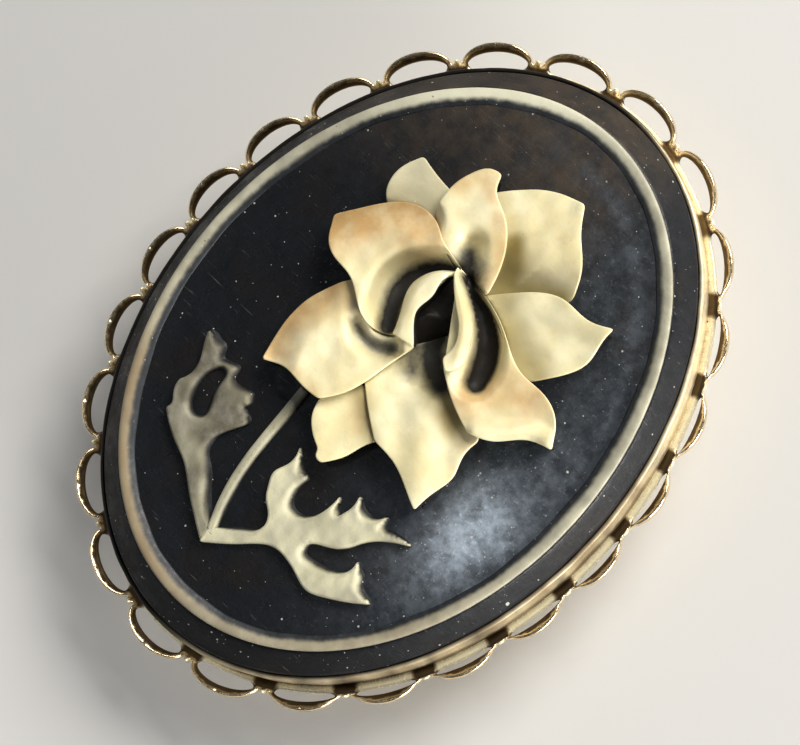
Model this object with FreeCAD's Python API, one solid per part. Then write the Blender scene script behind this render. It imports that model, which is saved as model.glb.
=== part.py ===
import FreeCAD, Part
import math
import os

"""Floral cameo brooch: an oval resin cameo in a gilt cup with a scalloped openwork edge,
and a pin with a rotating safety catch on its back.

Millimetres. +Z is the way the cameo faces, +Y its top, +X its right-hand side.
The origin is under the middle of the oval, on the surface that the brooch lies on."""

V = FreeCAD.Vector

# --- driving dimensions ---
TABLET_HALF_X = 15.0            # a standard 40 x 30 oval
TABLET_HALF_Y = 20.0
TABLET_BOTTOM = 0.9             # this and the next three heights are above the cup's back face
GIRDLE_HEIGHT = 2.6             # where the tablet is widest
FIELD_HEIGHT = 4.05             # the flat black field
RING_TOP = 4.3                  # above the cup's back face too
TABLET_FOOT = 0.4               # the small bevel round the tablet's underside
RING_HALF_X = 14.05
RING_HALF_Y = 18.45
RING_WIDTH = 0.9
RING_DEPTH = 0.5

CUP_CLEARANCE = 0.05
CUP_WALL = 0.3
CUP_FLOOR = 0.4
CUP_HEIGHT = 2.3

LOOP_COUNT = 24
LACE_REACH = 2.03               # how far a loop's tip stands out from the tablet's edge
LACE_FOOT = 0.3                 # height of the lace at the cup's wall
LACE_SLOPE = 0.55               # rise per millimetre outwards
LACE_THICKNESS = 0.5
LACE_STRIP = 0.62               # solid strip from the tablet's edge out to the holes
LACE_NOTCH = 0.85               # and out to the notches between the scallops
LACE_RIBBON = 0.42              # width of a loop round its hole
LACE_HOLE_SHARE = 0.76          # a hole's share of the spacing along the edge
LOOP_START_TURN = 7.0           # degrees of each loop's half-oval left off at its ends
BUD_HALF_WIDTH = 0.14
BUD_REACH = 0.42
LACE_POST = 6.0                 # height of the prism that cuts the pattern

PIN_RADIUS = 0.45
PIN_Y = 5.0                     # the pin lies across the upper half, so the brooch hangs upright
HINGE_X = -11.0
CATCH_X = 11.0
PIN_SHOULDER_X = -9.65          # a flat strap runs from the eye to here
PIN_SHOULDER_RADIUS = 0.65      # and its shoulder narrows to the wire from here
PIN_WIRE_START = -8.65
PIN_TAPER_START = 8.6
PIN_TIP_X = 13.4
PIN_TIP_RADIUS = 0.06
BAR_HALF_WIDTH = 2.0
BAR_PAST_CATCH = 0.4
BAR_THICKNESS = 0.5
PIN_BELOW_BAR = 1.8             # from the bar's face to the pin's axis
EYE_RADIUS = 1.1
EYE_WIDTH = 0.9
EAR_RADIUS = 1.2
EAR_THICKNESS = 0.4
EAR_GAP = 0.08
JOINT_BASE = 0.4
RIVET_RADIUS = 0.4
RIVET_HEAD = 0.25
RIVET_HEAD_RADIUS = 0.75
RUNNING_GAP = 0.03

ROLLER_RADIUS = 1.10
ROLLER_BORE = 0.62
ROLLER_SLOT = 1.1
ROLLER_FLANGE_RADIUS = 1.45
ROLLER_FLANGE = 0.4
HOUSING_LENGTH = 2.0
HOUSING_INNER = 1.16
HOUSING_OUTER = 1.5
HOUSING_OPENING = 110.0         # degrees, facing away from the back
HOUSING_FOOT_HALF = 1.0
AXIAL_GAP = 0.06
TAB_REACH = 2.5
TAB_WIDTH = 0.8

LEAF_HEIGHT = 0.6               # the leaves and the stem stand this far above the field
CEMENT_MARGIN = 0.6
PAST = 2.0                      # how far a cutting tool runs past what it cuts

# --- worked out ---
ROLLER_LOWEST = math.sqrt(ROLLER_FLANGE_RADIUS ** 2 - (ROLLER_SLOT / 2) ** 2)
PIN_Z = ROLLER_LOWEST           # the roller's flanges touch the ground plane
BAR_FACE = PIN_Z + PIN_BELOW_BAR
BACK = BAR_FACE + BAR_THICKNESS  # the cup's back face
FIELD = BACK + FIELD_HEIGHT
CUP_HALF_X = TABLET_HALF_X + CUP_CLEARANCE + CUP_WALL
CUP_HALF_Y = TABLET_HALF_Y + CUP_CLEARANCE + CUP_WALL


# --- helpers ---
def oval_wire(half_x, half_y, z):
    """A flat oval, longer along Y."""
    oval = Part.Ellipse(V(0, half_y, z), V(half_x, 0, z), V(0, 0, z))
    return Part.Wire([oval.toShape()])


def oval_disc(half_x, half_y, z, height):
    return Part.Face(oval_wire(half_x, half_y, z)).extrude(V(0, 0, height))


def oval_cone(half_x, half_y, z, top_half_x, top_half_y, top_z):
    """A straight-sided solid from one oval up to another."""
    lower = oval_wire(half_x, half_y, z)
    upper = oval_wire(top_half_x, top_half_y, top_z)
    return Part.makeLoft([lower, upper], True, True)


def outline_face(points, z):
    """A flat face inside a closed outline. A point with a third item is a corner;
    between corners the edge is one smooth curve, or a line where there is nothing between."""
    corners = [i for i, p in enumerate(points) if len(p) == 3]
    edges = []
    for here, there in zip(corners, corners[1:] + [corners[0] + len(points)]):
        run = [points[k % len(points)] for k in range(here, there + 1)]
        run = [V(p[0], p[1], z) for p in run]
        if len(run) == 2:
            edges.append(Part.LineSegment(run[0], run[1]).toShape())
        else:
            curve = Part.BSplineCurve()
            curve.interpolate(run)
            edges.append(curve.toShape())
    return Part.Face(Part.Wire(edges))


def largest_solid(shape):
    return max(shape.Solids, key=lambda s: s.Volume)


def rod(radius, start, end):
    """A round rod between two points."""
    return Part.makeCylinder(radius, (end - start).Length, start, end - start)


# --- the cameo ---
def cameo_ground():
    """The black tablet: a plain edge, a bevel and a flat field, rebated for the ivory line."""
    base = oval_cone(TABLET_HALF_X - TABLET_FOOT, TABLET_HALF_Y - TABLET_FOOT, BACK + TABLET_BOTTOM,
                     TABLET_HALF_X, TABLET_HALF_Y, BACK + TABLET_BOTTOM + TABLET_FOOT)
    edge = oval_disc(TABLET_HALF_X, TABLET_HALF_Y, BACK + TABLET_BOTTOM + TABLET_FOOT,
                     GIRDLE_HEIGHT - TABLET_BOTTOM - TABLET_FOOT)
    bevel = oval_cone(TABLET_HALF_X, TABLET_HALF_Y, BACK + GIRDLE_HEIGHT,
                      RING_HALF_X, RING_HALF_Y, FIELD)
    tablet = base.fuse([edge, bevel])
    return tablet.cut(cameo_border_ring())


def cameo_border_ring():
    """The ivory line: a band let into the field's edge, standing just above it."""
    height = RING_DEPTH + RING_TOP - FIELD_HEIGHT
    bottom = FIELD - RING_DEPTH
    outer = oval_disc(RING_HALF_X, RING_HALF_Y, bottom, height)
    inner = oval_disc(RING_HALF_X - RING_WIDTH, RING_HALF_Y - RING_WIDTH, bottom, height)
    return outer.cut(inner)


# Each petal: outline, the way it points (degrees from +X), its length from the flower's heart,
# and its height above the cup's back at the heart, at the tip, and added along its two sides.
# They are listed from the top layer down; each one is cut away by those above it.
HEART = V(0.2, 4.2, 0)
PETALS = {
    "petal_inner_right": (
        [(-0.7, 6.85, "c"), (-0.55, 6.3, "c"), (0.6, 5.25), (1.9, 4.2), (2.4, 3.2), (2.35, 2.4, "c"),
         (3.0, 1.9, "c"), (3.4, 2.8), (2.9, 4.0), (1.9, 5.3), (0.6, 6.1)],
        20, 3.2, 7.0, 6.9, 0.0),
    "petal_inner_left": (
        [(-0.7, 6.85, "c"), (-1.5, 6.0), (-2.25, 4.5), (-1.9, 3.4), (-1.35, 2.5), (-0.9, 1.4, "c"),
         (0.7, 1.7, "c"), (0.0, 2.4), (-0.7, 3.4), (-0.6, 4.6), (-0.8, 5.6), (-0.55, 6.3, "c")],
        190, 2.4, 6.9, 7.0, 0.0),
    "petal_right": (
        [(-0.7, 6.85, "c"), (1.7, 6.6), (4.0, 5.8), (6.1, 4.9), (8.0, 4.9), (9.3, 4.4), (10.5, 2.9, "c"),
         (9.1, 2.4), (7.6, 0.9), (6.3, 0.3, "c"), (4.6, 0.9), (2.7, 2.0, "c"), (1.0, 4.4, "c")],
        -10, 10.0, 5.6, 6.7, 0.35),
    "petal_upper_left": (
        [(-8.6, 4.05, "c"), (-7.4, 5.8), (-5.9, 7.45), (-4.3, 7.95), (-2.5, 7.3, "c"), (-0.7, 6.85, "c"),
         (-0.9, 4.2, "c"), (-0.9, 1.5, "c"), (-2.2, 0.85), (-3.6, 1.3), (-5.2, 2.15), (-6.8, 2.35),
         (-7.85, 3.1)],
        175, 8.8, 5.8, 6.9, 0.3),
    "petal_top_left": (
        [(-4.2, 8.1, "c"), (-4.4, 9.6), (-4.0, 11.4), (-3.4, 12.2), (-2.7, 12.4, "c"), (-2.3, 11.5),
         (-1.2, 10.9), (0.0, 10.0), (1.0, 8.3), (1.45, 6.8, "c"), (0.0, 6.3, "c"), (-2.4, 6.8, "c")],
        110, 8.6, 5.7, 6.5, 0.2),
    "petal_left": (
        [(-5.2, 1.7, "c"), (-6.0, 0.0), (-6.25, -1.9), (-5.65, -4.9, "c"), (-4.3, -4.3), (-2.8, -4.35),
         (-1.5, -4.25, "c"), (-0.5, -2.7), (0.0, -0.6), (0.6, 2.0, "c"), (-1.0, 3.4, "c"), (-4.0, 3.4, "c")],
        237, 10.8, 5.7, 6.3, 0.2),
    "petal_lower_right": (
        [(-0.3, -1.7, "c"), (1.0, -2.7), (2.6, -3.75, "c"), (4.2, -3.85), (5.8, -4.4), (7.15, -5.0, "c"),
         (7.25, -3.4), (7.4, -2.1), (6.95, -0.8), (7.0, 0.4, "c"), (4.0, 3.0, "c"), (1.6, 4.2, "c"),
         (0.0, 1.5, "c")],
        -53, 11.5, 5.2, 6.0, 0.2),
    "petal_upper_right": (
        [(1.2, 6.6, "c"), (2.9, 8.4), (4.8, 9.6), (6.8, 9.7), (8.25, 10.35, "c"), (8.25, 9.4),
         (8.5, 8.1), (7.7, 6.1), (6.7, 4.8, "c"), (4.0, 4.6, "c")],
        35, 10.3, 5.2, 6.1, 0.2),
    "petal_bottom": (
        [(-1.6, -4.1, "c"), (-1.2, -5.2), (-0.2, -6.05), (0.5, -6.35, "c"), (0.6, -6.7), (1.1, -6.85, "c"),
         (1.9, -5.6), (2.3, -4.3), (2.8, -3.4, "c"), (1.5, -1.6, "c"), (-0.8, -2.0, "c")],
        -85, 11.0, 4.9, 5.5, 0.0),
    "petal_top": (
        [(-2.6, 11.2, "c"), (-1.4, 12.5), (0.3, 13.8), (2.0, 14.4, "c"), (2.9, 13.1), (4.4, 11.6),
         (5.2, 10.0, "c"), (4.8, 8.4, "c"), (1.4, 6.2, "c"), (-1.2, 8.6, "c")],
        70, 10.0, 5.0, 5.8, 0.1),
    "petal_back_left": (
        [(-6.0, 6.3, "c"), (-7.35, 7.2), (-7.65, 8.4), (-7.05, 10.1, "c"), (-5.8, 9.85), (-3.6, 9.7, "c"),
         (-3.2, 7.0, "c")],
        140, 9.0, 4.8, 5.3, 0.0),
    "flower_heart": (
        [(-0.75, 6.6, "c"), (-1.4, 4.4), (-0.6, 1.6, "c"), (2.8, 1.9, "c"), (2.6, 3.6), (1.4, 5.4)],
        -60, 3.0, 5.2, 5.0, 0.0),
}
PETAL_HALF_WIDTH = 3.5
LOWEST_PETAL = FIELD_HEIGHT + 0.4    # a petal's top stays between these heights above the cup's back
HIGHEST_PETAL = 7.1
PATCHES = 6                          # spans each way in a petal's top surface


def under_petal_top(points, pointing, length, inner, outer, sides):
    """The space under a petal's dished top, over the whole box of its outline."""
    reach = 0.6
    xs = [p[0] for p in points]
    ys = [p[1] for p in points]
    low_x, low_y = min(xs) - reach, min(ys) - reach
    step_x = (max(xs) + reach - low_x) / PATCHES
    step_y = (max(ys) + reach - low_y) / PATCHES
    along_x, along_y = math.cos(math.radians(pointing)), math.sin(math.radians(pointing))
    rows = []
    for i in range(PATCHES + 1):
        row = []
        for j in range(PATCHES + 1):
            x, y = low_x + i * step_x, low_y + j * step_y
            along = ((x - HEART.x) * along_x + (y - HEART.y) * along_y) / length
            across = ((y - HEART.y) * along_x - (x - HEART.x) * along_y) / PETAL_HALF_WIDTH
            rise = inner + (outer - inner) * along + sides * (across ** 2 - 0.5)
            row.append(V(x, y, BACK + min(max(rise, LOWEST_PETAL), HIGHEST_PETAL)))
        rows.append(row)
    surface = Part.BSplineSurface()
    surface.interpolate(rows)
    return surface.toShape().extrude(V(0, 0, -2 * HIGHEST_PETAL))


def flower():
    """All the petals and the heart, each cut away by the ones that lie over it."""
    made = {}
    for name, (points, pointing, length, inner, outer, sides) in PETALS.items():
        block = outline_face(points, FIELD).extrude(V(0, 0, HIGHEST_PETAL))
        petal = block.common(under_petal_top(points, pointing, length, inner, outer, sides))
        above = [other for other in made.values() if other.BoundBox.intersect(petal.BoundBox)]
        if above:
            petal = petal.cut(above)
        made[name] = largest_solid(petal)
    return made


def raised(points, height, hole=None):
    """A flat-topped piece of relief on the field, with an opening if it has one."""
    solid = outline_face(points, FIELD).extrude(V(0, 0, height))
    if hole:
        solid = solid.cut(outline_face(hole, FIELD).extrude(V(0, 0, height)))
    return solid


STEM_LINE = [(-0.95, -14.4), (-1.75, -12.5), (-2.35, -10.0), (-2.65, -6.8), (-2.85, -4.3)]
STEM_HALF_WIDTH = 0.36


def stem():
    """A narrow stalk from the foot of the leaves to the flower."""
    left = [(x - STEM_HALF_WIDTH, y) for x, y in STEM_LINE]
    right = [(x + STEM_HALF_WIDTH, y) for x, y in reversed(STEM_LINE)]
    for side in (left, right):
        side[0] += ("c",)
        side[-1] += ("c",)
    return raised(left + right, LEAF_HEIGHT)


LEAF_LEFT = [
    (-0.95, -15.1, "c"), (-2.1, -14.3), (-3.6, -13.3), (-5.2, -12.4), (-6.6, -11.9), (-8.2, -10.85, "c"),
    (-7.7, -10.6, "c"), (-8.6, -9.6), (-8.8, -8.9, "c"), (-8.35, -8.3, "c"), (-8.9, -7.0),
    (-9.6, -5.7, "c"), (-8.6, -5.8), (-7.8, -5.8, "c"), (-7.6, -6.4, "c"), (-6.7, -6.1, "c"),
    (-6.4, -6.9, "c"), (-4.6, -6.5, "c"), (-4.7, -7.2, "c"), (-3.8, -7.8, "c"), (-4.1, -8.8),
    (-4.6, -10.3), (-4.3, -11.1), (-2.8, -12.4), (-1.3, -13.9, "c")]
LEAF_LEFT_HOLE = [
    (-6.6, -6.8, "c"), (-6.3, -8.5), (-6.0, -9.6, "c"), (-6.9, -10.0), (-7.4, -9.0), (-7.2, -7.5)]
LEAF_RIGHT = [
    (-0.95, -15.1, "c"), (0.9, -13.5), (2.5, -12.3), (4.2, -12.4), (5.4, -12.8), (6.6, -12.2),
    (7.7, -11.6), (8.9, -10.6, "c"), (7.75, -10.9, "c"), (7.75, -9.75, "c"), (7.15, -10.3), (6.7, -10.05),
    (6.35, -9.3, "c"), (6.1, -9.9), (5.7, -10.55), (4.75, -11.1), (3.8, -11.35, "c"), (3.6, -10.6),
    (4.3, -10.1), (5.45, -9.4), (6.1, -8.3), (7.1, -7.3), (8.0, -6.9, "c"), (6.6, -7.0, "c"),
    (6.0, -6.0, "c"), (5.2, -7.1), (4.6, -7.1), (3.8, -6.5, "c"), (3.8, -7.7), (3.5, -8.5, "c"),
    (3.0, -7.3, "c"), (2.7, -8.9), (2.2, -9.9), (1.2, -9.6), (0.9, -8.1, "c"), (0.3, -8.1),
    (-0.4, -6.9, "c"), (-0.75, -8.3), (-0.75, -9.5), (0.2, -10.9), (1.1, -11.9), (0.1, -12.9),
    (-0.95, -13.9, "c")]


# --- the setting ---
def setting_cup():
    """A drawn brass cup: a flat back and a low upright wall."""
    outer = oval_disc(CUP_HALF_X, CUP_HALF_Y, BACK, CUP_HEIGHT)
    inner = oval_disc(CUP_HALF_X - CUP_WALL, CUP_HALF_Y - CUP_WALL, BACK + CUP_FLOOR, CUP_HEIGHT)
    return outer.cut(inner)


def cement_bed():
    """The adhesive between the cup's floor and the tablet."""
    return oval_disc(TABLET_HALF_X - CEMENT_MARGIN, TABLET_HALF_Y - CEMENT_MARGIN, BACK + CUP_FLOOR,
                     TABLET_BOTTOM - CUP_FLOOR)


def evenly_round_oval(half_x, half_y, count, first):
    """Points spaced evenly along an oval, as (x, y, way out in degrees), and the spacing.
    The first one is that share of a spacing round from the +X end."""
    fine = 4000
    turn = [2 * math.pi * k / fine for k in range(fine + 1)]
    run = [0.0]
    for a, b in zip(turn, turn[1:]):
        dx = half_x * (math.cos(b) - math.cos(a))
        dy = half_y * (math.sin(b) - math.sin(a))
        run.append(run[-1] + math.hypot(dx, dy))
    spacing = run[-1] / count
    places = []
    k = 0
    for n in range(count):
        while run[k] < spacing * (n + first):
            k += 1
        t = turn[k]
        way_out = math.degrees(math.atan2(math.sin(t) / half_y, math.cos(t) / half_x))
        places.append((half_x * math.cos(t), half_y * math.sin(t), way_out))
    return places, spacing


def out_and_along(way_out):
    """The directions straight out from the edge and along it."""
    out = V(math.cos(math.radians(way_out)), math.sin(math.radians(way_out)), 0)
    return out, V(-out.y, out.x, 0)


def lace_loop(place, half_along, half_out, z):
    """One loop's flattened half-oval, from notch to notch, and the two ends of it."""
    x, y, way_out = place
    out, along = out_and_along(way_out)
    middle = V(x, y, z) + out * LACE_NOTCH
    oval = Part.Ellipse(middle - along * half_along, middle + out * half_out, middle)
    start, end = math.radians(LOOP_START_TURN), math.radians(180 - LOOP_START_TURN)
    arc = Part.ArcOfEllipse(oval, start, end).toShape()
    return arc, arc.valueAt(arc.FirstParameter), arc.valueAt(arc.LastParameter)


def lace_hole(place, half_along, half_out, z):
    """A half-moon hole: an arc outside, a straight edge towards the cup."""
    arc, start, end = lace_loop(place, half_along, half_out, z)
    out, _ = out_and_along(place[2])
    inward = out * (LACE_STRIP - LACE_NOTCH - half_out * math.sin(math.radians(LOOP_START_TURN)))
    corners = [end, end + inward, start + inward, start]
    sides = [Part.LineSegment(p, q).toShape() for p, q in zip(corners, corners[1:])]
    return Part.Wire([arc] + sides)


def lace_plan(z):
    """The edge seen from above: scallops with a small bud between each two, and the holes."""
    loops, spacing = evenly_round_oval(TABLET_HALF_X, TABLET_HALF_Y, LOOP_COUNT, 0.0)
    joins, _ = evenly_round_oval(TABLET_HALF_X, TABLET_HALF_Y, LOOP_COUNT, 0.5)
    half_out = LACE_REACH - LACE_NOTCH
    scallops = [lace_loop(p, spacing / 2 - BUD_HALF_WIDTH, half_out, z) for p in loops]
    outline = []
    ends = [scallop[1:] for scallop in scallops]
    for n, (arc, start, end) in enumerate(scallops):
        x, y, way_out = joins[n]
        out, _ = out_and_along(way_out)
        bud_tip = V(x, y, z) + out * (LACE_NOTCH + BUD_REACH)
        here = min((start, end), key=lambda p: (p - bud_tip).Length)
        there = min(ends[(n + 1) % LOOP_COUNT], key=lambda p: (p - bud_tip).Length)
        outline += [arc, Part.Arc(here, bud_tip, there).toShape()]
    outer = Part.Wire(Part.__sortEdges__(outline))
    holes = [lace_hole(p, LACE_HOLE_SHARE * spacing / 2, half_out - LACE_RIBBON, z) for p in loops]
    cup = oval_wire(CUP_HALF_X, CUP_HALF_Y, z)
    return Part.makeFace([outer, cup] + holes, "Part::FaceMakerBullseye")


def lace_edge():
    """The openwork edge: a sheet flaring up and outwards, cut to the pattern."""
    reach = LACE_REACH + PAST
    rise = (reach - CUP_WALL) * LACE_SLOPE
    funnels = []
    for lift in (0.0, LACE_THICKNESS * math.hypot(1, LACE_SLOPE)):
        low = BACK + LACE_FOOT + lift
        funnels.append(oval_cone(TABLET_HALF_X + CUP_WALL, TABLET_HALF_Y + CUP_WALL, low,
                                 TABLET_HALF_X + reach, TABLET_HALF_Y + reach, low + rise))
    flare = funnels[0].cut(funnels[1])
    return flare.common(lace_plan(BACK - 1).extrude(V(0, 0, LACE_POST)))


# --- the pin and its fittings ---
def pin_bar():
    """The strip soldered across the back; the hinge sits on one end, the catch on the other."""
    end = CATCH_X + BAR_PAST_CATCH
    plate = Part.makeBox(end - HINGE_X, 2 * BAR_HALF_WIDTH, BAR_THICKNESS,
                         V(HINGE_X, PIN_Y - BAR_HALF_WIDTH, BAR_FACE))
    for x in (HINGE_X, end):
        plate = plate.fuse(rod(BAR_HALF_WIDTH, V(x, PIN_Y, BAR_FACE), V(x, PIN_Y, BACK)))
    return plate


def pin_joint():
    """The hinge bracket: a base on the bar and two ears bored for the rivet."""
    outer = EYE_WIDTH / 2 + EAR_GAP + EAR_THICKNESS
    bracket = Part.makeBox(2 * EAR_RADIUS, 2 * outer, JOINT_BASE,
                           V(HINGE_X - EAR_RADIUS, PIN_Y - outer, BAR_FACE - JOINT_BASE))
    for y in (PIN_Y - outer, PIN_Y + outer - EAR_THICKNESS):
        ear = Part.makeBox(2 * EAR_RADIUS, EAR_THICKNESS, PIN_BELOW_BAR, V(HINGE_X - EAR_RADIUS, y, PIN_Z))
        round_end = rod(EAR_RADIUS, V(HINGE_X, y, PIN_Z), V(HINGE_X, y + EAR_THICKNESS, PIN_Z))
        bracket = bracket.fuse([ear, round_end])
    bore = rod(RIVET_RADIUS, V(HINGE_X, PIN_Y - outer - PAST, PIN_Z), V(HINGE_X, PIN_Y + outer + PAST, PIN_Z))
    return bracket.cut(bore).removeSplitter()


def joint_rivet():
    """The rivet through the ears, with a low head on each side."""
    outer = EYE_WIDTH / 2 + EAR_GAP + EAR_THICKNESS
    shank = rod(RIVET_RADIUS, V(HINGE_X, PIN_Y - outer, PIN_Z), V(HINGE_X, PIN_Y + outer, PIN_Z))
    heads = []
    for side in (-1, 1):
        ear_face = V(HINGE_X, PIN_Y + side * outer, PIN_Z)
        heads.append(Part.makeCone(RIVET_HEAD_RADIUS, 0.6 * RIVET_HEAD_RADIUS, RIVET_HEAD,
                                   ear_face, V(0, side, 0)))
    return shank.fuse(heads).removeSplitter()


def pin_stem():
    """The pin: a bored eye on a flat strap, a shoulder, a round wire and a long tapered point."""
    half = EYE_WIDTH / 2
    eye = rod(EYE_RADIUS, V(HINGE_X, PIN_Y - half, PIN_Z), V(HINGE_X, PIN_Y + half, PIN_Z))
    strap = Part.makeBox(PIN_SHOULDER_X - HINGE_X, EYE_WIDTH, 2 * PIN_SHOULDER_RADIUS,
                         V(HINGE_X, PIN_Y - half, PIN_Z - PIN_SHOULDER_RADIUS))
    shoulder_at = V(PIN_SHOULDER_X, PIN_Y, PIN_Z)
    wire_at = V(PIN_WIRE_START, PIN_Y, PIN_Z)
    point_at = V(PIN_TAPER_START, PIN_Y, PIN_Z)
    shoulder = Part.makeCone(PIN_SHOULDER_RADIUS, PIN_RADIUS, PIN_WIRE_START - PIN_SHOULDER_X,
                             shoulder_at, V(1, 0, 0))
    wire = rod(PIN_RADIUS, wire_at, point_at)
    point = Part.makeCone(PIN_RADIUS, PIN_TIP_RADIUS, PIN_TIP_X - PIN_TAPER_START, point_at, V(1, 0, 0))
    bore = rod(RIVET_RADIUS + RUNNING_GAP, V(HINGE_X, PIN_Y - PAST, PIN_Z), V(HINGE_X, PIN_Y + PAST, PIN_Z))
    return eye.fuse([strap, shoulder, wire, point]).cut(bore).removeSplitter()


def wedge(radius, half_angle, start_x, length):
    """A sector round the pin's axis that opens away from the back, to cut a mouth with."""
    far = 4 * radius
    spread = far * math.tan(math.radians(half_angle))
    corners = [V(start_x, PIN_Y, PIN_Z), V(start_x, PIN_Y - spread, PIN_Z - far),
               V(start_x, PIN_Y + spread, PIN_Z - far)]
    return Part.Face(Part.makePolygon(corners + corners[:1])).extrude(V(length, 0, 0))


def catch_housing():
    """The C-shaped catch on its foot."""
    start = CATCH_X - HOUSING_LENGTH / 2
    from_end, to_end = V(start, PIN_Y, PIN_Z), V(start + HOUSING_LENGTH, PIN_Y, PIN_Z)
    foot = Part.makeBox(HOUSING_LENGTH, 2 * HOUSING_FOOT_HALF, PIN_BELOW_BAR,
                        V(start, PIN_Y - HOUSING_FOOT_HALF, PIN_Z))
    shell = rod(HOUSING_OUTER, from_end, to_end).fuse(foot)
    mouth = wedge(HOUSING_OUTER, HOUSING_OPENING / 2, start, HOUSING_LENGTH)
    return shell.cut([rod(HOUSING_INNER, from_end, to_end), mouth]).removeSplitter()


def catch_roller():
    """The safety roller: a slotted sleeve with a flange at each end and a thumb tab."""
    inner_end = CATCH_X - HOUSING_LENGTH / 2 - AXIAL_GAP
    outer_end = CATCH_X + HOUSING_LENGTH / 2 + AXIAL_GAP
    near, far = V(inner_end - ROLLER_FLANGE, PIN_Y, PIN_Z), V(outer_end + ROLLER_FLANGE, PIN_Y, PIN_Z)
    sleeve = rod(ROLLER_RADIUS, near, far)
    flanges = [rod(ROLLER_FLANGE_RADIUS, near, V(inner_end, PIN_Y, PIN_Z)),
               rod(ROLLER_FLANGE_RADIUS, V(outer_end, PIN_Y, PIN_Z), far)]
    tab = Part.makeBox(ROLLER_FLANGE, TAB_REACH, TAB_WIDTH,
                       V(near.x, PIN_Y - TAB_REACH, PIN_Z - TAB_WIDTH / 2))
    tab_end = rod(TAB_WIDTH / 2, V(near.x, PIN_Y - TAB_REACH, PIN_Z),
                  V(near.x + ROLLER_FLANGE, PIN_Y - TAB_REACH, PIN_Z))
    body = sleeve.fuse(flanges + [tab, tab_end])
    slot_depth = ROLLER_FLANGE_RADIUS + PAST
    slot = Part.makeBox(far.x - near.x, ROLLER_SLOT, slot_depth,
                        V(near.x, PIN_Y - ROLLER_SLOT / 2, PIN_Z - slot_depth))
    return body.cut([rod(ROLLER_BORE, near, far), slot]).removeSplitter()


def main():
    os.makedirs("parts", exist_ok=True)
    made = {
        "cameo_ground": cameo_ground(),
        "cameo_border_ring": cameo_border_ring(),
        **flower(),
        "leaf_left": raised(LEAF_LEFT, LEAF_HEIGHT, LEAF_LEFT_HOLE),
        "leaf_right": raised(LEAF_RIGHT, LEAF_HEIGHT),
        "setting_cup": setting_cup(),
        "lace_edge": lace_edge(),
        "cement_bed": cement_bed(),
        "pin_bar": pin_bar(),
        "pin_joint": pin_joint(),
        "joint_rivet": joint_rivet(),
        "pin_stem": pin_stem(),
        "catch_housing": catch_housing(),
        "catch_roller": catch_roller(),
    }
    others = [shape for name, shape in made.items() if name.startswith(("leaf", "petal"))]
    made["stem"] = largest_solid(stem().cut(others))
    for name, shape in made.items():
        print(f"{name:20s} valid {shape.isValid()} solids {len(shape.Solids)} volume {shape.Volume:9.3f}")
        shape.exportStep(f"parts/{name}.step")


main()
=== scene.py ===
"""Looks of the floral cameo brooch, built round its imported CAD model.

Shapes are worked out in millimetres in the CAD's own frame and written in metres.
Petal heights are given above the back face of the setting's cup."""
from math import asin, cos, hypot, pi, radians, sin

import bmesh
import bpy
import numpy as np
from mathutils import Matrix, Vector
from mathutils.geometry import delaunay_2d_cdt


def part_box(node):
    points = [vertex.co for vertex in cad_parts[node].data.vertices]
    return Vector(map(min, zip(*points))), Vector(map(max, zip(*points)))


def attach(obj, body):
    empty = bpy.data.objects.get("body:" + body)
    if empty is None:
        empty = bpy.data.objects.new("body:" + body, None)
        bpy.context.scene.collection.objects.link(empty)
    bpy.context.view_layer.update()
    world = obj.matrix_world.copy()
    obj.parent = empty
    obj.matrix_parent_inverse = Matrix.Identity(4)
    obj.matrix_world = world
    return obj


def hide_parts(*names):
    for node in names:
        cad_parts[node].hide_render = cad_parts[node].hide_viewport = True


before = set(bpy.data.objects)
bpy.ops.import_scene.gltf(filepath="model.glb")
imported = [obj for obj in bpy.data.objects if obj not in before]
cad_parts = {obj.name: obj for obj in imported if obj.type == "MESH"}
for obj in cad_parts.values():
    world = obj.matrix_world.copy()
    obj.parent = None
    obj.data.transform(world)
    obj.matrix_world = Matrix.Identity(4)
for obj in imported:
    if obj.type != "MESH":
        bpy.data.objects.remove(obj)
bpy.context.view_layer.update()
MM = 0.001


def box_mm(node):
    """The lowest and highest corners of a CAD node's box."""
    low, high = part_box(node)
    return low / MM, high / MM


# --- places taken from the CAD; a box's high corner holds the half sizes, as the oval is centred ---
CUP_LOW, CUP_HALF = box_mm("setting_cup")
BACK = CUP_LOW.z
CUP_TOP = CUP_HALF.z
TABLET_LOW, TABLET_HALF = box_mm("cameo_ground")
FIELD = TABLET_HALF.z           # height of the black field
RING_HALF = box_mm("cameo_border_ring")[1]
RING_TOP = RING_HALF.z
LACE_LOW = box_mm("lace_edge")[0].z
CEMENT_LOW, CEMENT_HALF = box_mm("cement_bed")

# --- sizes, in millimetres ---
RING_WIDTH = 0.9
GIRDLE = BACK + 2.6             # height of the tablet's widest line
TABLET_FOOT = 0.4
CUP_WALL = 0.3
CUP_FLOOR = 0.4
CUP_SPREAD = 0.28               # how far the foot of the wall has spread on the +X side
POINT = 0.02                    # half the width of the smallest oval, where a lathed face closes
ROUND_STEPS = 240               # points round each oval
RIM_STEP = 0.12                 # spacing of points along a carved edge
RIM_RINGS = (0.025, 0.06, 0.12, 0.24)   # how far in from a carved edge its rows of points lie
GRID_STEP = 0.22
PULL_REACH = 1.5                # how far in from its edge an underside follows an undercut
EDGE_RADIUS = 0.07              # the rounding of a carved top edge
THINNEST = 0.02                 # the least thickness of a carved piece
SAME_POINT = 0.00001            # points closer than this are joined

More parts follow.
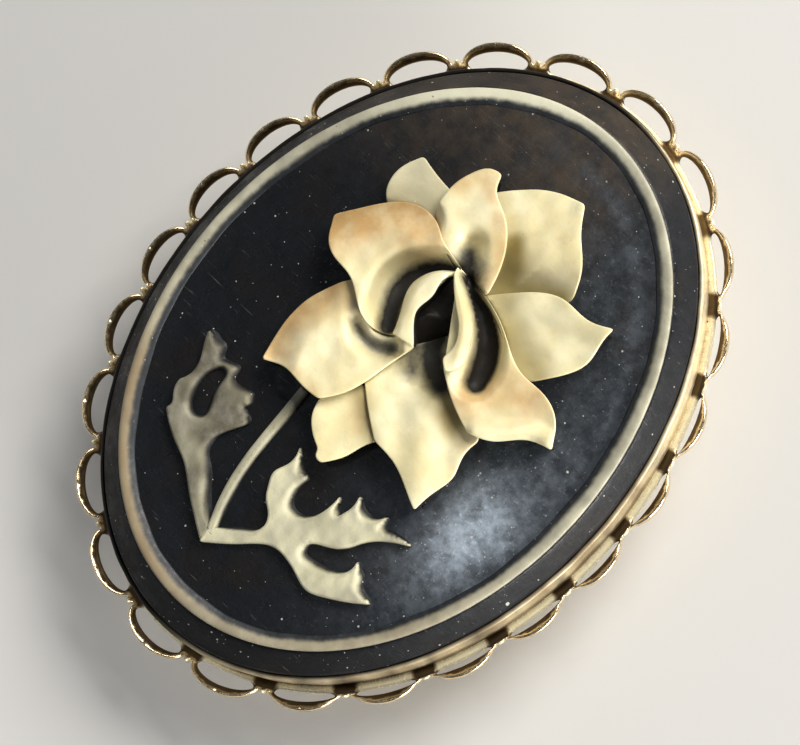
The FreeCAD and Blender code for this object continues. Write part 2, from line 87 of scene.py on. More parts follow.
LOOP_COUNT = 24
LACE_SLOPE = 0.55               # how steeply the edge rises outwards
LACE_THICKNESS = 0.5
LACE_REACH = 2.03               # from the tablet's girdle to a loop's far side
LACE_STRIP = 0.62               # outer side of the strip that joins the loops
LACE_NOTCH = 0.85               # where two loops part
LACE_RIBBON = 0.52
LACE_ROLL = 0.19                # the rounding of a ribbon's edges
HOLE_SHARE = 0.76               # a hole's width as a share of its loop's
BUD_RADIUS = 0.2
BUD_REACH = 0.38
BENT_IN = 0.46                  # how far the +X side's strip has been squeezed outwards
LACE_STEP = 0.14                # spacing of a loop's points
LACE_RINGS = (0.035, 0.09, 0.16)
LOOPS_JOIN = 0.004              # points of neighbouring loops closer than this are joined


# --- plane geometry ---
def spline(points, count):
    """Evenly spread points along the smooth curve through the given ones."""
    p = np.asarray(points, float)
    chord = np.linalg.norm(np.diff(p[:, :2], axis=0), axis=1)
    t = np.concatenate([[0.0], np.cumsum(chord)])
    n = len(p)
    a = np.eye(n)
    b = np.zeros_like(p)
    for i in range(1, n - 1):
        a[i, i - 1:i + 2] = chord[i - 1], 2 * (chord[i - 1] + chord[i]), chord[i]
        b[i] = 6 * ((p[i + 1] - p[i]) / chord[i] - (p[i] - p[i - 1]) / chord[i - 1])
    m = np.linalg.solve(a, b)
    s = np.linspace(0, t[-1], count)
    k = np.clip(np.searchsorted(t, s, side="right") - 1, 0, n - 2)
    h = chord[k][:, None]
    left = ((t[k + 1] - s)[:, None]) / h
    right = ((s - t[k])[:, None]) / h
    bend = ((left ** 3 - left) * m[k] + (right ** 3 - right) * m[k + 1]) * h * h / 6
    return left * p[k] + right * p[k + 1] + bend


def soften(loop, times):
    """A closed run of points or values, each drawn towards its neighbours a few times over."""
    for _ in range(times):
        loop = 0.5 * loop + 0.25 * (np.roll(loop, 1, 0) + np.roll(loop, -1, 0))
    return loop


def outline(points, step=RIM_STEP, softenings=3):
    """A closed edge through the points. A point with a third item is a corner."""
    corners = [i for i, p in enumerate(points) if len(p) == 3]
    runs = []
    for here, there in zip(corners, corners[1:] + [corners[0] + len(points)]):
        run = [points[k % len(points)][:2] for k in range(here, there + 1)]
        length = np.linalg.norm(np.diff(np.array(run), axis=0), axis=1).sum()
        runs.append(spline(run, max(2, int(length / step) + 1))[:-1])
    return soften(np.vstack(runs), softenings)


def nearest(xy, line):
    """Each point's distance to a line of points, and its place along it, in segments."""
    a = line[:-1]
    d = line[1:] - a
    length2 = np.maximum((d * d).sum(1), 1e-12)
    best = np.full(len(xy), np.inf)
    place = np.zeros(len(xy))
    for start in range(0, len(xy), 2000):
        part = xy[start:start + 2000]
        rel = part[:, None, :] - a[None]
        t = np.clip((rel * d).sum(2) / length2, 0, 1)
        off = rel - t[..., None] * d
        dist2 = (off * off).sum(2)
        k = dist2.argmin(1)
        rows = np.arange(len(part))
        best[start:start + 2000] = np.sqrt(dist2[rows, k])
        place[start:start + 2000] = k + t[rows, k]
    return best, place


def closed(loop):
    """A loop with its first point again at its end."""
    return np.vstack([loop, loop[:1]])


def edge_distance(xy, loop):
    """Each point's distance to a closed loop."""
    return nearest(xy, closed(loop))[0]


def inside(xy, loop):
    """Which points lie inside a closed loop."""
    found = np.zeros(len(xy), bool)
    ax, ay = loop[:, 0], loop[:, 1]
    bx, by = np.roll(ax, -1), np.roll(ay, -1)
    slope = (bx - ax) / np.where(by == ay, 1e-9, by - ay)
    for start in range(0, len(xy), 4000):
        x = xy[start:start + 4000, 0, None]
        y = xy[start:start + 4000, 1, None]
        crosses = ((ay > y) != (by > y)) & (x < ax + (y - ay) * slope)
        found[start:start + 4000] = crosses.sum(1) % 2 == 1
    return found


def outwards(loop):
    """The unit direction out of a closed loop at each of its points."""
    along = np.roll(loop, -1, 0) - np.roll(loop, 1, 0)
    along /= np.linalg.norm(along, axis=1)[:, None]
    area = (loop[:, 0] * np.roll(loop[:, 1], -1) - np.roll(loop[:, 0], -1) * loop[:, 1]).sum()
    side = 1.0 if area > 0 else -1.0
    return np.stack([along[:, 1], -along[:, 0]], 1) * side


def ease(low, high, x):
    """0 below low, 1 above high, smooth between."""
    t = np.clip((x - low) / (high - low), 0, 1)
    return t * t * (3 - 2 * t)


def wobble(points, size, seed=0.0):
    """A gentle uneven wave of about -1 to 1; size is its wavelength in millimetres."""
    x, y = points[:, 0], points[:, 1]
    total = 0.0
    for k in range(5):
        turn = 2.4 * k + seed
        reach = 2 * pi / size * (0.8 + 0.35 * k)
        wave = np.sin(reach * (x * cos(turn) + y * sin(turn)) + 1.7 * k + seed)
        total = total + wave / (1 + 0.5 * k)
    return total / 2.0


def brushed(xy, points, core, soft):
    """1 along a brushed line, fading out from core to soft; each point has its own share of both."""
    wide = [p if len(p) == 3 else (*p, 1.0) for p in points]
    line = spline(wide, 8 * len(wide))
    dist, place = nearest(xy, line[:, :2])
    share = np.interp(place, np.arange(len(line)), line[:, 2])
    return 1 - ease(core, soft, dist / share)


# --- meshes ---
def add_object(name, data):
    """Put a mesh, a lamp or a camera into the scene."""
    obj = bpy.data.objects.new(name, data)
    bpy.context.scene.collection.objects.link(obj)
    return obj


def add_attributes(mesh, attributes):
    """Values for each point of a mesh, which its material reads by name."""
    for label, values in attributes.items():
        layer = mesh.attributes.new(label, "FLOAT", "POINT")
        layer.data.foreach_set("value", np.asarray(values, np.float32))


def clean(mesh, gap):
    """Join points closer than gap, in metres, and turn every face outwards."""
    bm = bmesh.new()
    bm.from_mesh(mesh)
    bmesh.ops.remove_doubles(bm, verts=bm.verts, dist=gap)
    bmesh.ops.recalc_face_normals(bm, faces=bm.faces)
    bm.to_mesh(mesh)
    bm.free()


def stand_for(node, name, mesh, material, body):
    """A smooth-shaded object that moves with its body and replaces a CAD node."""
    mesh.polygons.foreach_set("use_smooth", [True] * len(mesh.polygons))
    mesh.materials.append(material)
    obj = add_object(name, mesh)
    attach(obj, body)
    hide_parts(node)


def new_piece(node, points_mm, faces, material, attributes, gap=SAME_POINT):
    """A mesh of the script's own that stands for a CAD node of the brooch's body."""
    mesh = bpy.data.meshes.new(node)
    mesh.from_pydata([Vector(p) * MM for p in points_mm], [], faces)
    add_attributes(mesh, attributes)
    clean(mesh, gap * MM)
    stand_for(node, node, mesh, material, "brooch")


def oval_ring(half_x, half_y, z):
    """Points round a level oval."""
    turn = np.linspace(0, 2 * pi, ROUND_STEPS, endpoint=False)
    return np.stack([half_x * np.cos(turn), half_y * np.sin(turn), np.full(ROUND_STEPS, float(z))], 1)


def lathe(rings, close=False):
    """Points and faces through rings of equal count. Unless the last joins the first, the ends are capped."""
    count = len(rings[0])
    faces = []
    for r in range(len(rings) if close else len(rings) - 1):
        here = r * count
        there = ((r + 1) % len(rings)) * count
        for k in range(count):
            n = (k + 1) % count
            faces.append((here + k, here + n, there + n, there + k))
    if not close:
        faces.append(tuple(range(count)))
        faces.append(tuple(range((len(rings) - 1) * count, len(rings) * count)))
    return np.vstack(rings), faces


def fill_plan(rim, hole=None, spacing=GRID_STEP, rings=RIM_RINGS):
    """Points and triangles that fill a plan outline, closer together near its edges."""
    def within(some):
        """Which points lie in the area to fill."""
        found = inside(some, rim)
        return found if hole is None else found & ~inside(some, hole)

    loops = [rim] if hole is None else [rim, hole]
    edges = []
    points = []
    for loop in loops:
        first = len(points)
        points += list(loop)
        edges += [(first + k, first + (k + 1) % len(loop)) for k in range(len(loop))]
    low, high = rim.min(0), rim.max(0)
    rows = np.arange(low[1], high[1], spacing * 0.866)
    grid = np.array([(x + (j % 2) * spacing / 2, y) for j, y in enumerate(rows)
                     for x in np.arange(low[0], high[0], spacing)])
    extra = [(grid, rings[-1] + 0.3 * spacing)]
    for loop in loops:
        into = -outwards(loop) if loop is rim else outwards(loop)
        extra += [(loop + into * reach, 0.93 * reach) for reach in rings]
    for some, clear in extra:
        some = some[within(some)]
        for loop in loops:
            some = some[edge_distance(some, loop) > clear]
        points += list(some)
    made = delaunay_2d_cdt([Vector(p) for p in points], edges, [], 0, 1e-6)
    xy = np.array([v[:] for v in made[0]])
    faces = np.array([f for f in made[2] if len(f) == 3])
    return xy, faces[within(xy[faces].mean(1))]


def border_loops(faces):
    """The chains of points round the open edges of some triangles."""
    count = {}
    for f in faces:
        for a, b in ((f[0], f[1]), (f[1], f[2]), (f[2], f[0])):
            count[(a, b)] = count.get((a, b), 0) + 1
    after = {a: b for (a, b) in count if (b, a) not in count}
    loops = []
    while after:
        start = next(iter(after))
        loop = [start]
        here = after.pop(start)
        while here != start:
            loop.append(here)
            here = after.pop(here)
        loops.append(loop)
    return loops


def drawn_in(loop, reach):
    """A closed edge shrunk by about reach, and by more at its tips."""
    steps = 10
    for _ in range(steps):
        loop = soften(loop - outwards(loop) * reach / steps, 2)
    return loop


def carve(name, rim, top, floor, paints, material, walls, undercut=0.0, hole=None, spacing=GRID_STEP):
    """A carved piece: its top, walls down to the floor, and a flat underside. top(xy, inset) gives
    heights, each paint(xy) an attribute. Each ring of the walls has how far down it is, at most in
    millimetres and as a share of the wall; its share of the undercut; and how dark it is."""
    xy, faces = fill_plan(rim, hole, spacing)
    inset = edge_distance(xy, rim)
    if hole is not None:
        inset = np.minimum(inset, edge_distance(xy, hole))
    short = np.maximum(0, EDGE_RADIUS - inset)
    rounding = EDGE_RADIUS - np.sqrt(np.maximum(0, EDGE_RADIUS ** 2 - short ** 2))
    z = np.maximum(top(xy, inset) - rounding, floor + THINNEST)
    points = [np.column_stack([xy, z])]
    values = {label: [paint(xy)] for label, paint in paints.items()}
    made = [tuple(f) for f in faces]
    total = len(xy)
    under = {}
    pulled = xy.copy()
    for loop in border_loops(faces):
        loop = np.array(loop)
        plan = xy[loop]
        deep = drawn_in(plan, undercut) - plan if undercut else np.zeros_like(plan)
        upper = loop
        for most, share, inward, darkness in walls:
            drop = np.minimum(most, share * (z[loop] - floor))
            points.append(np.column_stack([plan + inward * deep, z[loop] - drop]))
            for label in values:
                at_rim = values[label][0][loop]
                values[label].append(np.maximum(at_rim, darkness) if label == "dark" else at_rim)
            low = total + np.arange(len(loop))
            for k in range(len(loop)):
                n = (k + 1) % len(loop)
                made.append((upper[k], low[k], low[n], upper[n]))
            total += len(loop)
            upper = low
        under.update(zip(loop.tolist(), upper.tolist()))
        away, place = nearest(xy, closed(plan))
        follow = deep[np.round(place).astype(int) % len(loop)] * walls[-1][2]
        pulled += follow * np.clip(1 - away / PULL_REACH, 0, 1)[:, None]
    inner = [v for v in range(len(xy)) if v not in under]
    under.update({v: total + k for k, v in enumerate(inner)})
    points.append(np.column_stack([pulled[inner], np.full(len(inner), floor)]))
    for label in values:
        values[label].append(np.full(len(inner), 1.0 if label == "dark" else 0.0))
    made += [(under[f[2]], under[f[1]], under[f[0]]) for f in faces]
    flat = {label: np.concatenate(v) for label, v in values.items()}
    new_piece(name, np.vstack(points), made, material, flat)


# --- materials ---
def linear(red, green, blue):
    """A colour given in screen values of 0 to 255."""
    def one(c):
        c = c / 255
        return c / 12.92 if c <= 0.04045 else ((c + 0.055) / 1.055) ** 2.4
    return (one(red), one(green), one(blue), 1.0)


class Finish:
    """A node material under construction. Its places are in millimetres."""

    def __init__(self, name):
        self.material = bpy.data.materials.new(name)
        self.material.use_nodes = True
        self.tree = self.material.node_tree
        self.tree.nodes.clear()
        self.surface = self.tree.nodes.new("ShaderNodeBsdfPrincipled")
        output = self.tree.nodes.new("ShaderNodeOutputMaterial")
        self.tree.links.new(self.surface.outputs[0], output.inputs[0])
        coords = self.node("TexCoord", {}, "Object")
        self.place = self.node("VectorMath", {0: coords, "Scale": 1 / MM}, operation="SCALE")

    def node(self, kind, inputs, output=0, **settings):
        """One output of a new node with these inputs and settings."""
        made = self.tree.nodes.new("ShaderNode" + kind)
        for key, value in settings.items():
            setattr(made, key, value)
        for key, value in inputs.items():
            self.put(made.inputs[key], value)
        return made.outputs[output]

    def put(self, socket, value):
        """Link a texture to an input, or set the input to a plain value."""
        if isinstance(value, bpy.types.NodeSocket):
            self.tree.links.new(value, socket)
        else:
            socket.default_value = value

    def finished(self, **inputs):
        """The material, with these values or textures on its shader."""
        for key, value in inputs.items():
            self.put(self.surface.inputs[key.replace("_", " ")], value)
        return self.material

    def stretched(self, x, y, z):
        """Places scaled differently along each axis, for brushed and scratched looks."""
        return self.node("VectorMath", {0: self.place, 1: (x, y, z)}, operation="MULTIPLY")

    def noise(self, per_mm, detail=3.0, rough=0.55, place=None, distort=0.0):
        return self.node("TexNoise", {"Vector": place or self.place, "Scale": per_mm, "Detail": detail,
                                      "Roughness": rough, "Distortion": distort}, "Fac")

    def attribute(self, name):
        return self.node("Attribute", {}, "Fac", attribute_name=name)

    def span(self, value, low, high, to_low=0.0, to_high=1.0, smooth=True):
        """The value carried from one range to another, and held at its ends."""
        return self.node("MapRange", {"Value": value, "From Min": low, "From Max": high, "To Min": to_low,
                                      "To Max": to_high}, "Result",
                         interpolation_type="SMOOTHSTEP" if smooth else "LINEAR")

    def patches(self, per_mm, low, high, to_low=0.0, to_high=1.0, detail=3.0, rough=0.55):
        """Noise carried from one range to another."""
        return self.span(self.noise(per_mm, detail, rough), low, high, to_low, to_high)

    def maths(self, operation, a, b):
        return self.node("Math", {0: a, 1: b}, operation=operation)

    def times(self, a, b):
        return self.maths("MULTIPLY", a, b)

    def mix(self, share, a, b, blend="MIX"):
        return self.node("Mix", {"Factor": share, 6: a, 7: b}, 2, data_type="RGBA", blend_type=blend)

    def speckled(self, color, other, per_mm, size, share, seed, strength):
        """The colour with small specks of another; share is how many of the cells have one."""
        shift = (seed, 2 * seed, 3 * seed)
        place = self.node("VectorMath", {0: self.place, 1: shift}, operation="ADD")
        radius = self.times(self.noise(2.2 * per_mm, 1.0, place=place), 2 * size * per_mm)
        to_middle = self.node("TexVoronoi", {"Vector": place, "Scale": per_mm}, "Distance")
        pick = self.node("SeparateColor", {0: to_middle.node.outputs["Color"]})
        dots = self.times(self.maths("LESS_THAN", to_middle, radius), self.maths("LESS_THAN", pick, share))
        return self.mix(self.times(dots, strength), color, other)

    def bump(self, height, strength, depth_mm, under=None):
        """A bumpy surface, over another where one is given."""
        below = {} if under is None else {"Normal": under}
        return self.node("Bump", {"Strength": strength, "Distance": depth_mm * MM, "Height": height, **below})


CREAM = linear(244, 230, 178)
PALE_CREAM = linear(249, 241, 201)
DEEP_CREAM = linear(214, 190, 136)
SHADED_CREAM = linear(150, 140, 98)
TAN = linear(210, 170, 112)
GREY_CREAM = linear(190, 184, 160)
BROWN_BLACK = (0.012, 0.009, 0.006, 1)
COLD_BLACK = (0.005, 0.0055, 0.007, 1)
WARM_BLACK = (0.010, 0.007, 0.005, 1)
WORN_BLACK = (0.018, 0.020, 0.023, 1)
# the painted bluish reflection on the black field, and its painted glints
PAINTED_REFLECTION = (0.42, 0.49, 0.57, 1)
GLINT = (0.55, 0.62, 0.70, 1)
SPECK_GREY = linear(186, 188, 182)
BROWN_VEIL = linear(78, 66, 52)
GOLD = (0.93, 0.75, 0.47, 1)
# the colour of the painted highlight on the lace's strip and buds
PAINTED_HIGHLIGHT_GOLD = (0.97, 0.88, 0.60, 1)
PIT_BROWN = (0.05, 0.035, 0.02, 1)
# the black resin's specks: cells per millimetre, size, share of cells, seed, strength
BLACK_SPECKS = ((0.8, 0.10, 0.14, 1.0, 1.0), (2.0, 0.05, 0.20, 4.0, 0.85), (3.4, 0.03, 0.22, 7.0, 0.7))


def black_paint(f, reflection_share, crowd=0.6):
    """The black resin's colour: deep black, brownish in places, with a painted bluish reflection and painted
    glints over it, as strong as the second argument.
    """
    color = f.mix(f.patches(0.22, 0.45, 0.7, 0.0, 0.8), COLD_BLACK, WARM_BLACK)
    # painted reflection of the lamps, mottled
    color = f.mix(f.times(reflection_share, f.patches(1.1, 0.3, 0.72, 0.3, 1.0, 6.0, 0.68)), color, PAINTED_REFLECTION)
    worn = f.span(f.noise(1.5, 6.0, 0.7, distort=0.6), 0.55, 0.8, 0.0, 0.2)
    color = f.mix(worn, color, WORN_BLACK)
    # painted glints within the painted reflection
    color = f.mix(f.times(f.patches(3.6, 0.56, 0.72, 0.0, 0.9, 5.0, 0.72), reflection_share), color, GLINT)
    for per_mm, size, share, seed, strength in BLACK_SPECKS:
        color = f.speckled(color, SPECK_GREY, per_mm, size, f.times(crowd, share), seed, strength)
    return color


def ragged(f, per_mm, ragged_by, detail=3.0):
    """The dark attribute with an uneven edge."""
    uneven = f.span(f.noise(per_mm, detail), 0.2, 0.8, -ragged_by, ragged_by, False)
    return f.maths("ADD", f.attribute("dark"), uneven)


def ivory():
    """Cream resin, stained tan at the rims, greyer in places, with painted shade where petals dip, fold and
    turn from the light, and airbrushed brown-black in the hollows.
    """
    f = Finish("ivory_resin")
    color = f.mix(f.patches(0.28, 0.35, 0.65, detail=4.0), CREAM, PALE_CREAM)
    color = f.mix(f.patches(1.3, 0.45, 0.8, 0.0, 0.3, 5.0, 0.6), color, DEEP_CREAM)
    # grey: a greyer tone, and painted shade along grooves and in hollows
    color = f.mix(f.attribute("grey"), color, GREY_CREAM)
    warmth = f.times(f.attribute("warm"), f.patches(0.7, 0.25, 0.7, 0.6, 1.15))
    color = f.mix(f.maths("MINIMUM", warmth, 1.0), color, TAN)
    # shade: painted shade where petals dip under others and on rims turned from the key light
    color = f.mix(f.attribute("shade"), color, f.mix(1.0, color, SHADED_CREAM, "MULTIPLY"))
    dark = f.span(ragged(f, 2.0, 0.1), 0.08, 0.92, smooth=False)
    color = f.mix(dark, color, BROWN_BLACK)
    color = f.speckled(color, PALE_CREAM, 1.1, 0.05, 0.25, 3.0, 0.75)
    color = f.speckled(color, linear(120, 92, 58), 1.7, 0.035, 0.10, 9.0, 0.6)
    lumps = f.bump(f.noise(1.1, 2.0), 0.35, 0.08, f.bump(f.noise(9.0), 0.25, 0.02))
    rough = f.maths("ADD", f.patches(3.0, 0.3, 0.7, 0.36, 0.5), f.times(dark, 0.2))
    return f.finished(Base_Color=color, Roughness=rough, Normal=lumps, Subsurface_Weight=0.12,
                      Subsurface_Scale=0.6 * MM, Subsurface_Radius=(1.0, 0.65, 0.35), Specular_IOR_Level=0.45)


def leaf_resin():
    """Thinner, greyer cream, rubbed over black."""
    f = Finish("leaf_resin")
    color = f.mix(f.attribute("pale"), linear(98, 93, 78), linear(216, 211, 178))
    color = f.mix(f.patches(0.9, 0.4, 0.7, 0.0, 0.35, 4.0), color, linear(176, 172, 158))
    # the rubbed-away parts are black paint with a faint painted reflection
    color = f.mix(f.span(ragged(f, 1.6, 0.1), 0.08, 0.92), color, black_paint(f, 0.02))
    color = f.speckled(color, linear(110, 96, 70), 1.6, 0.04, 0.12, 5.0, 0.6)
    lumps = f.bump(f.noise(1.6), 0.4, 0.08, f.bump(f.noise(9.0), 0.3, 0.02))
    return f.finished(Base_Color=color, Roughness=f.patches(3.0, 0.3, 0.7, 0.45, 0.6), Normal=lumps,
                      Specular_IOR_Level=0.25)


def black_resin():
    """Black resin with a painted bluish reflection, fine scratches and pale specks."""
    f = Finish("black_resin")
    reflection_share = f.attribute("painted_reflection")
    bevel = f.attribute("bevel")
    color = black_paint(f, reflection_share, f.maths("ADD", f.span(reflection_share, 0.01, 0.12, 0.6, 1.5), f.times(bevel, 0.7)))
    veil = f.times(f.attribute("brown"), f.patches(0.8, 0.3, 0.7, 0.3, 1.0, 4.0))
    color = f.mix(veil, color, BROWN_VEIL)
    along = f.span(f.noise(1.0, 2.0, place=f.stretched(0.5, 9.0, 1.0)), 0.62, 0.7)
    across = f.span(f.noise(1.0, 2.0, place=f.stretched(7.0, 0.8, 1.0)), 0.64, 0.72)
    hairs = f.span(f.noise(1.0, place=f.stretched(0.6, 8.0, 1.0)), 0.66, 0.74, 0.0, 0.14)
    color = f.mix(f.times(hairs, f.patches(0.6, 0.45, 0.6, detail=2.0)), color, SPECK_GREY)
    grain = f.bump(f.noise(6.0, 5.0, 0.65), 0.5, 0.03, f.bump(f.noise(0.9), 0.5, 0.10))
    scratches = f.bump(f.maths("ADD", along, across), 0.3, 0.02, grain)
    rough = f.maths("ADD", f.patches(1.6, 0.3, 0.7, 0.24, 0.42, 5.0, 0.65), f.times(bevel, 0.15))
    return f.finished(Base_Color=color, Roughness=rough, Normal=scratches, Specular_IOR_Level=0.24)


def border_paint():
    """The ivory line: greyish cream, browned in places, with a soft inner edge."""
    f = Finish("border_ivory")
    color = f.mix(f.patches(0.5, 0.35, 0.65, detail=4.0), linear(162, 158, 138), linear(194, 190, 166))
    color = f.mix(f.attribute("pale"), color, linear(222, 219, 194))
    color = f.mix(f.times(f.attribute("warm"), 0.75), color, linear(136, 112, 78))
    # the inner slope is black paint with a faint painted reflection
    color = f.mix(f.span(ragged(f, 1.8, 0.16, 4.0), 0.1, 0.9), color, black_paint(f, 0.05))
    color = f.speckled(color, linear(90, 80, 60), 2.0, 0.05, 0.12, 2.0, 0.7)
    lumps = f.bump(f.noise(1.5), 0.4, 0.06, f.bump(f.noise(8.0), 0.3, 0.02))
    return f.finished(Base_Color=color, Roughness=f.patches(2.5, 0.3, 0.7, 0.4, 0.55), Normal=lumps)


def gilt(name, gold, tarnish_and_shade, smooth_rough, dull_rough, tarnish_share, metallic=1.0, patch_per_mm=1.4,
         pale_metallic=None):
    """Gold-plated brass with patches of tarnish; dull brown where the tarnish attribute is high, which on the
    lace is painted shade as well as tarnish; pale gold on the lace, a painted highlight; brown-black on the
    cup, grime and painted shadow.
    """
    f = Finish(name)
    pale = f.attribute("pale")
    # worn is 1, down to 0.1 under the painted highlight, where tarnish patches and scuffs fade
    worn = f.span(pale, 0.0, 1.0, 1.0, 0.1, False)
    patch = f.patches(patch_per_mm, 0.42, 0.75, 0.0, tarnish_share, 5.0, 0.62)
    share = f.maths("MAXIMUM", f.times(patch, worn), f.attribute("tarnish_and_shade"))
    color = f.mix(share, f.mix(pale, gold, PAINTED_HIGHLIGHT_GOLD), tarnish_and_shade)
    color = f.speckled(color, PIT_BROWN, 1.3, 0.06, 0.09, 6.0, 0.8)
    # brown-black grime and painted shadow
    color = f.mix(f.attribute("grime_and_shadow"), color, BROWN_BLACK)
    rough = f.maths("ADD", f.patches(4.0, 0.3, 0.7, smooth_rough, dull_rough, 4.0), f.times(share, 0.18))
    scuffs = f.bump(f.times(f.noise(7.0, 4.0, 0.6), worn), 0.25, 0.02, f.bump(f.noise(1.3, 2.0), 0.3, 0.05))
    if pale_metallic is not None:
        metallic = f.span(pale, 0.0, 1.0, metallic, pale_metallic, False)
    return f.finished(Base_Color=color, Roughness=rough, Normal=scuffs, Metallic=metallic)


def steel():
    """The polished pin, drawn along its length."""
    f = Finish("steel_pin")
    drawn = f.noise(2.0, place=f.stretched(0.4, 9.0, 9.0))
    color = f.mix(f.span(drawn, 0.3, 0.7), (0.66, 0.6, 0.47, 1), (0.78, 0.73, 0.6, 1))
    return f.finished(Base_Color=color, Roughness=f.span(drawn, 0.3, 0.7, 0.16, 0.3), Metallic=1.0,
                      Normal=f.bump(drawn, 0.15, 0.02))


def cement():
    """Aged amber adhesive."""
    f = Finish("cement")
    color = f.mix(f.noise(0.8, 4.0), linear(150, 128, 88), linear(196, 180, 140))
    return f.finished(Base_Color=color, Roughness=0.5, Normal=f.bump(f.noise(2.0, 4.0), 0.5, 0.1))


IVORY = ivory()
LEAF = leaf_resin()
# on the lace the dark brown is painted shade and tarnish, and the pale gold a painted highlight
LACE_GILT = gilt("lace_gilt", GOLD, (0.055, 0.032, 0.014, 1), 0.14, 0.3, 0.3, pale_metallic=0.25)
CUP_GILT = gilt("cup_gilt", (0.92, 0.78, 0.52, 1), (0.36, 0.28, 0.17, 1), 0.34, 0.48, 0.7, 0.5, 0.6)
PIN_GILT = gilt("fittings_gilt", (0.84, 0.66, 0.38, 1), (0.20, 0.14, 0.07, 1), 0.2, 0.38, 0.5)


# --- the flower ---
C = "corner"
HEART = np.array([0.2, 4.2])
HALF_WIDTH = 3.5                # of a petal
GROOVE_LEFT = [(-1.7, 1.5, 0.9), (-2.42, 2.7, 1.0), (-2.8, 4.09, 1.0), (-2.46, 5.3, 0.8), (-1.83, 6.15, 0.6),
               (-1.0, 6.62, 0.4)]
GROOVE_RIGHT = [(-0.2, 6.7, 0.35), (1.1, 6.2, 0.6), (2.5, 5.5, 0.85), (3.5, 4.6, 1.0), (4.1, 3.55, 1.05),
                (4.4, 2.7, 0.9)]
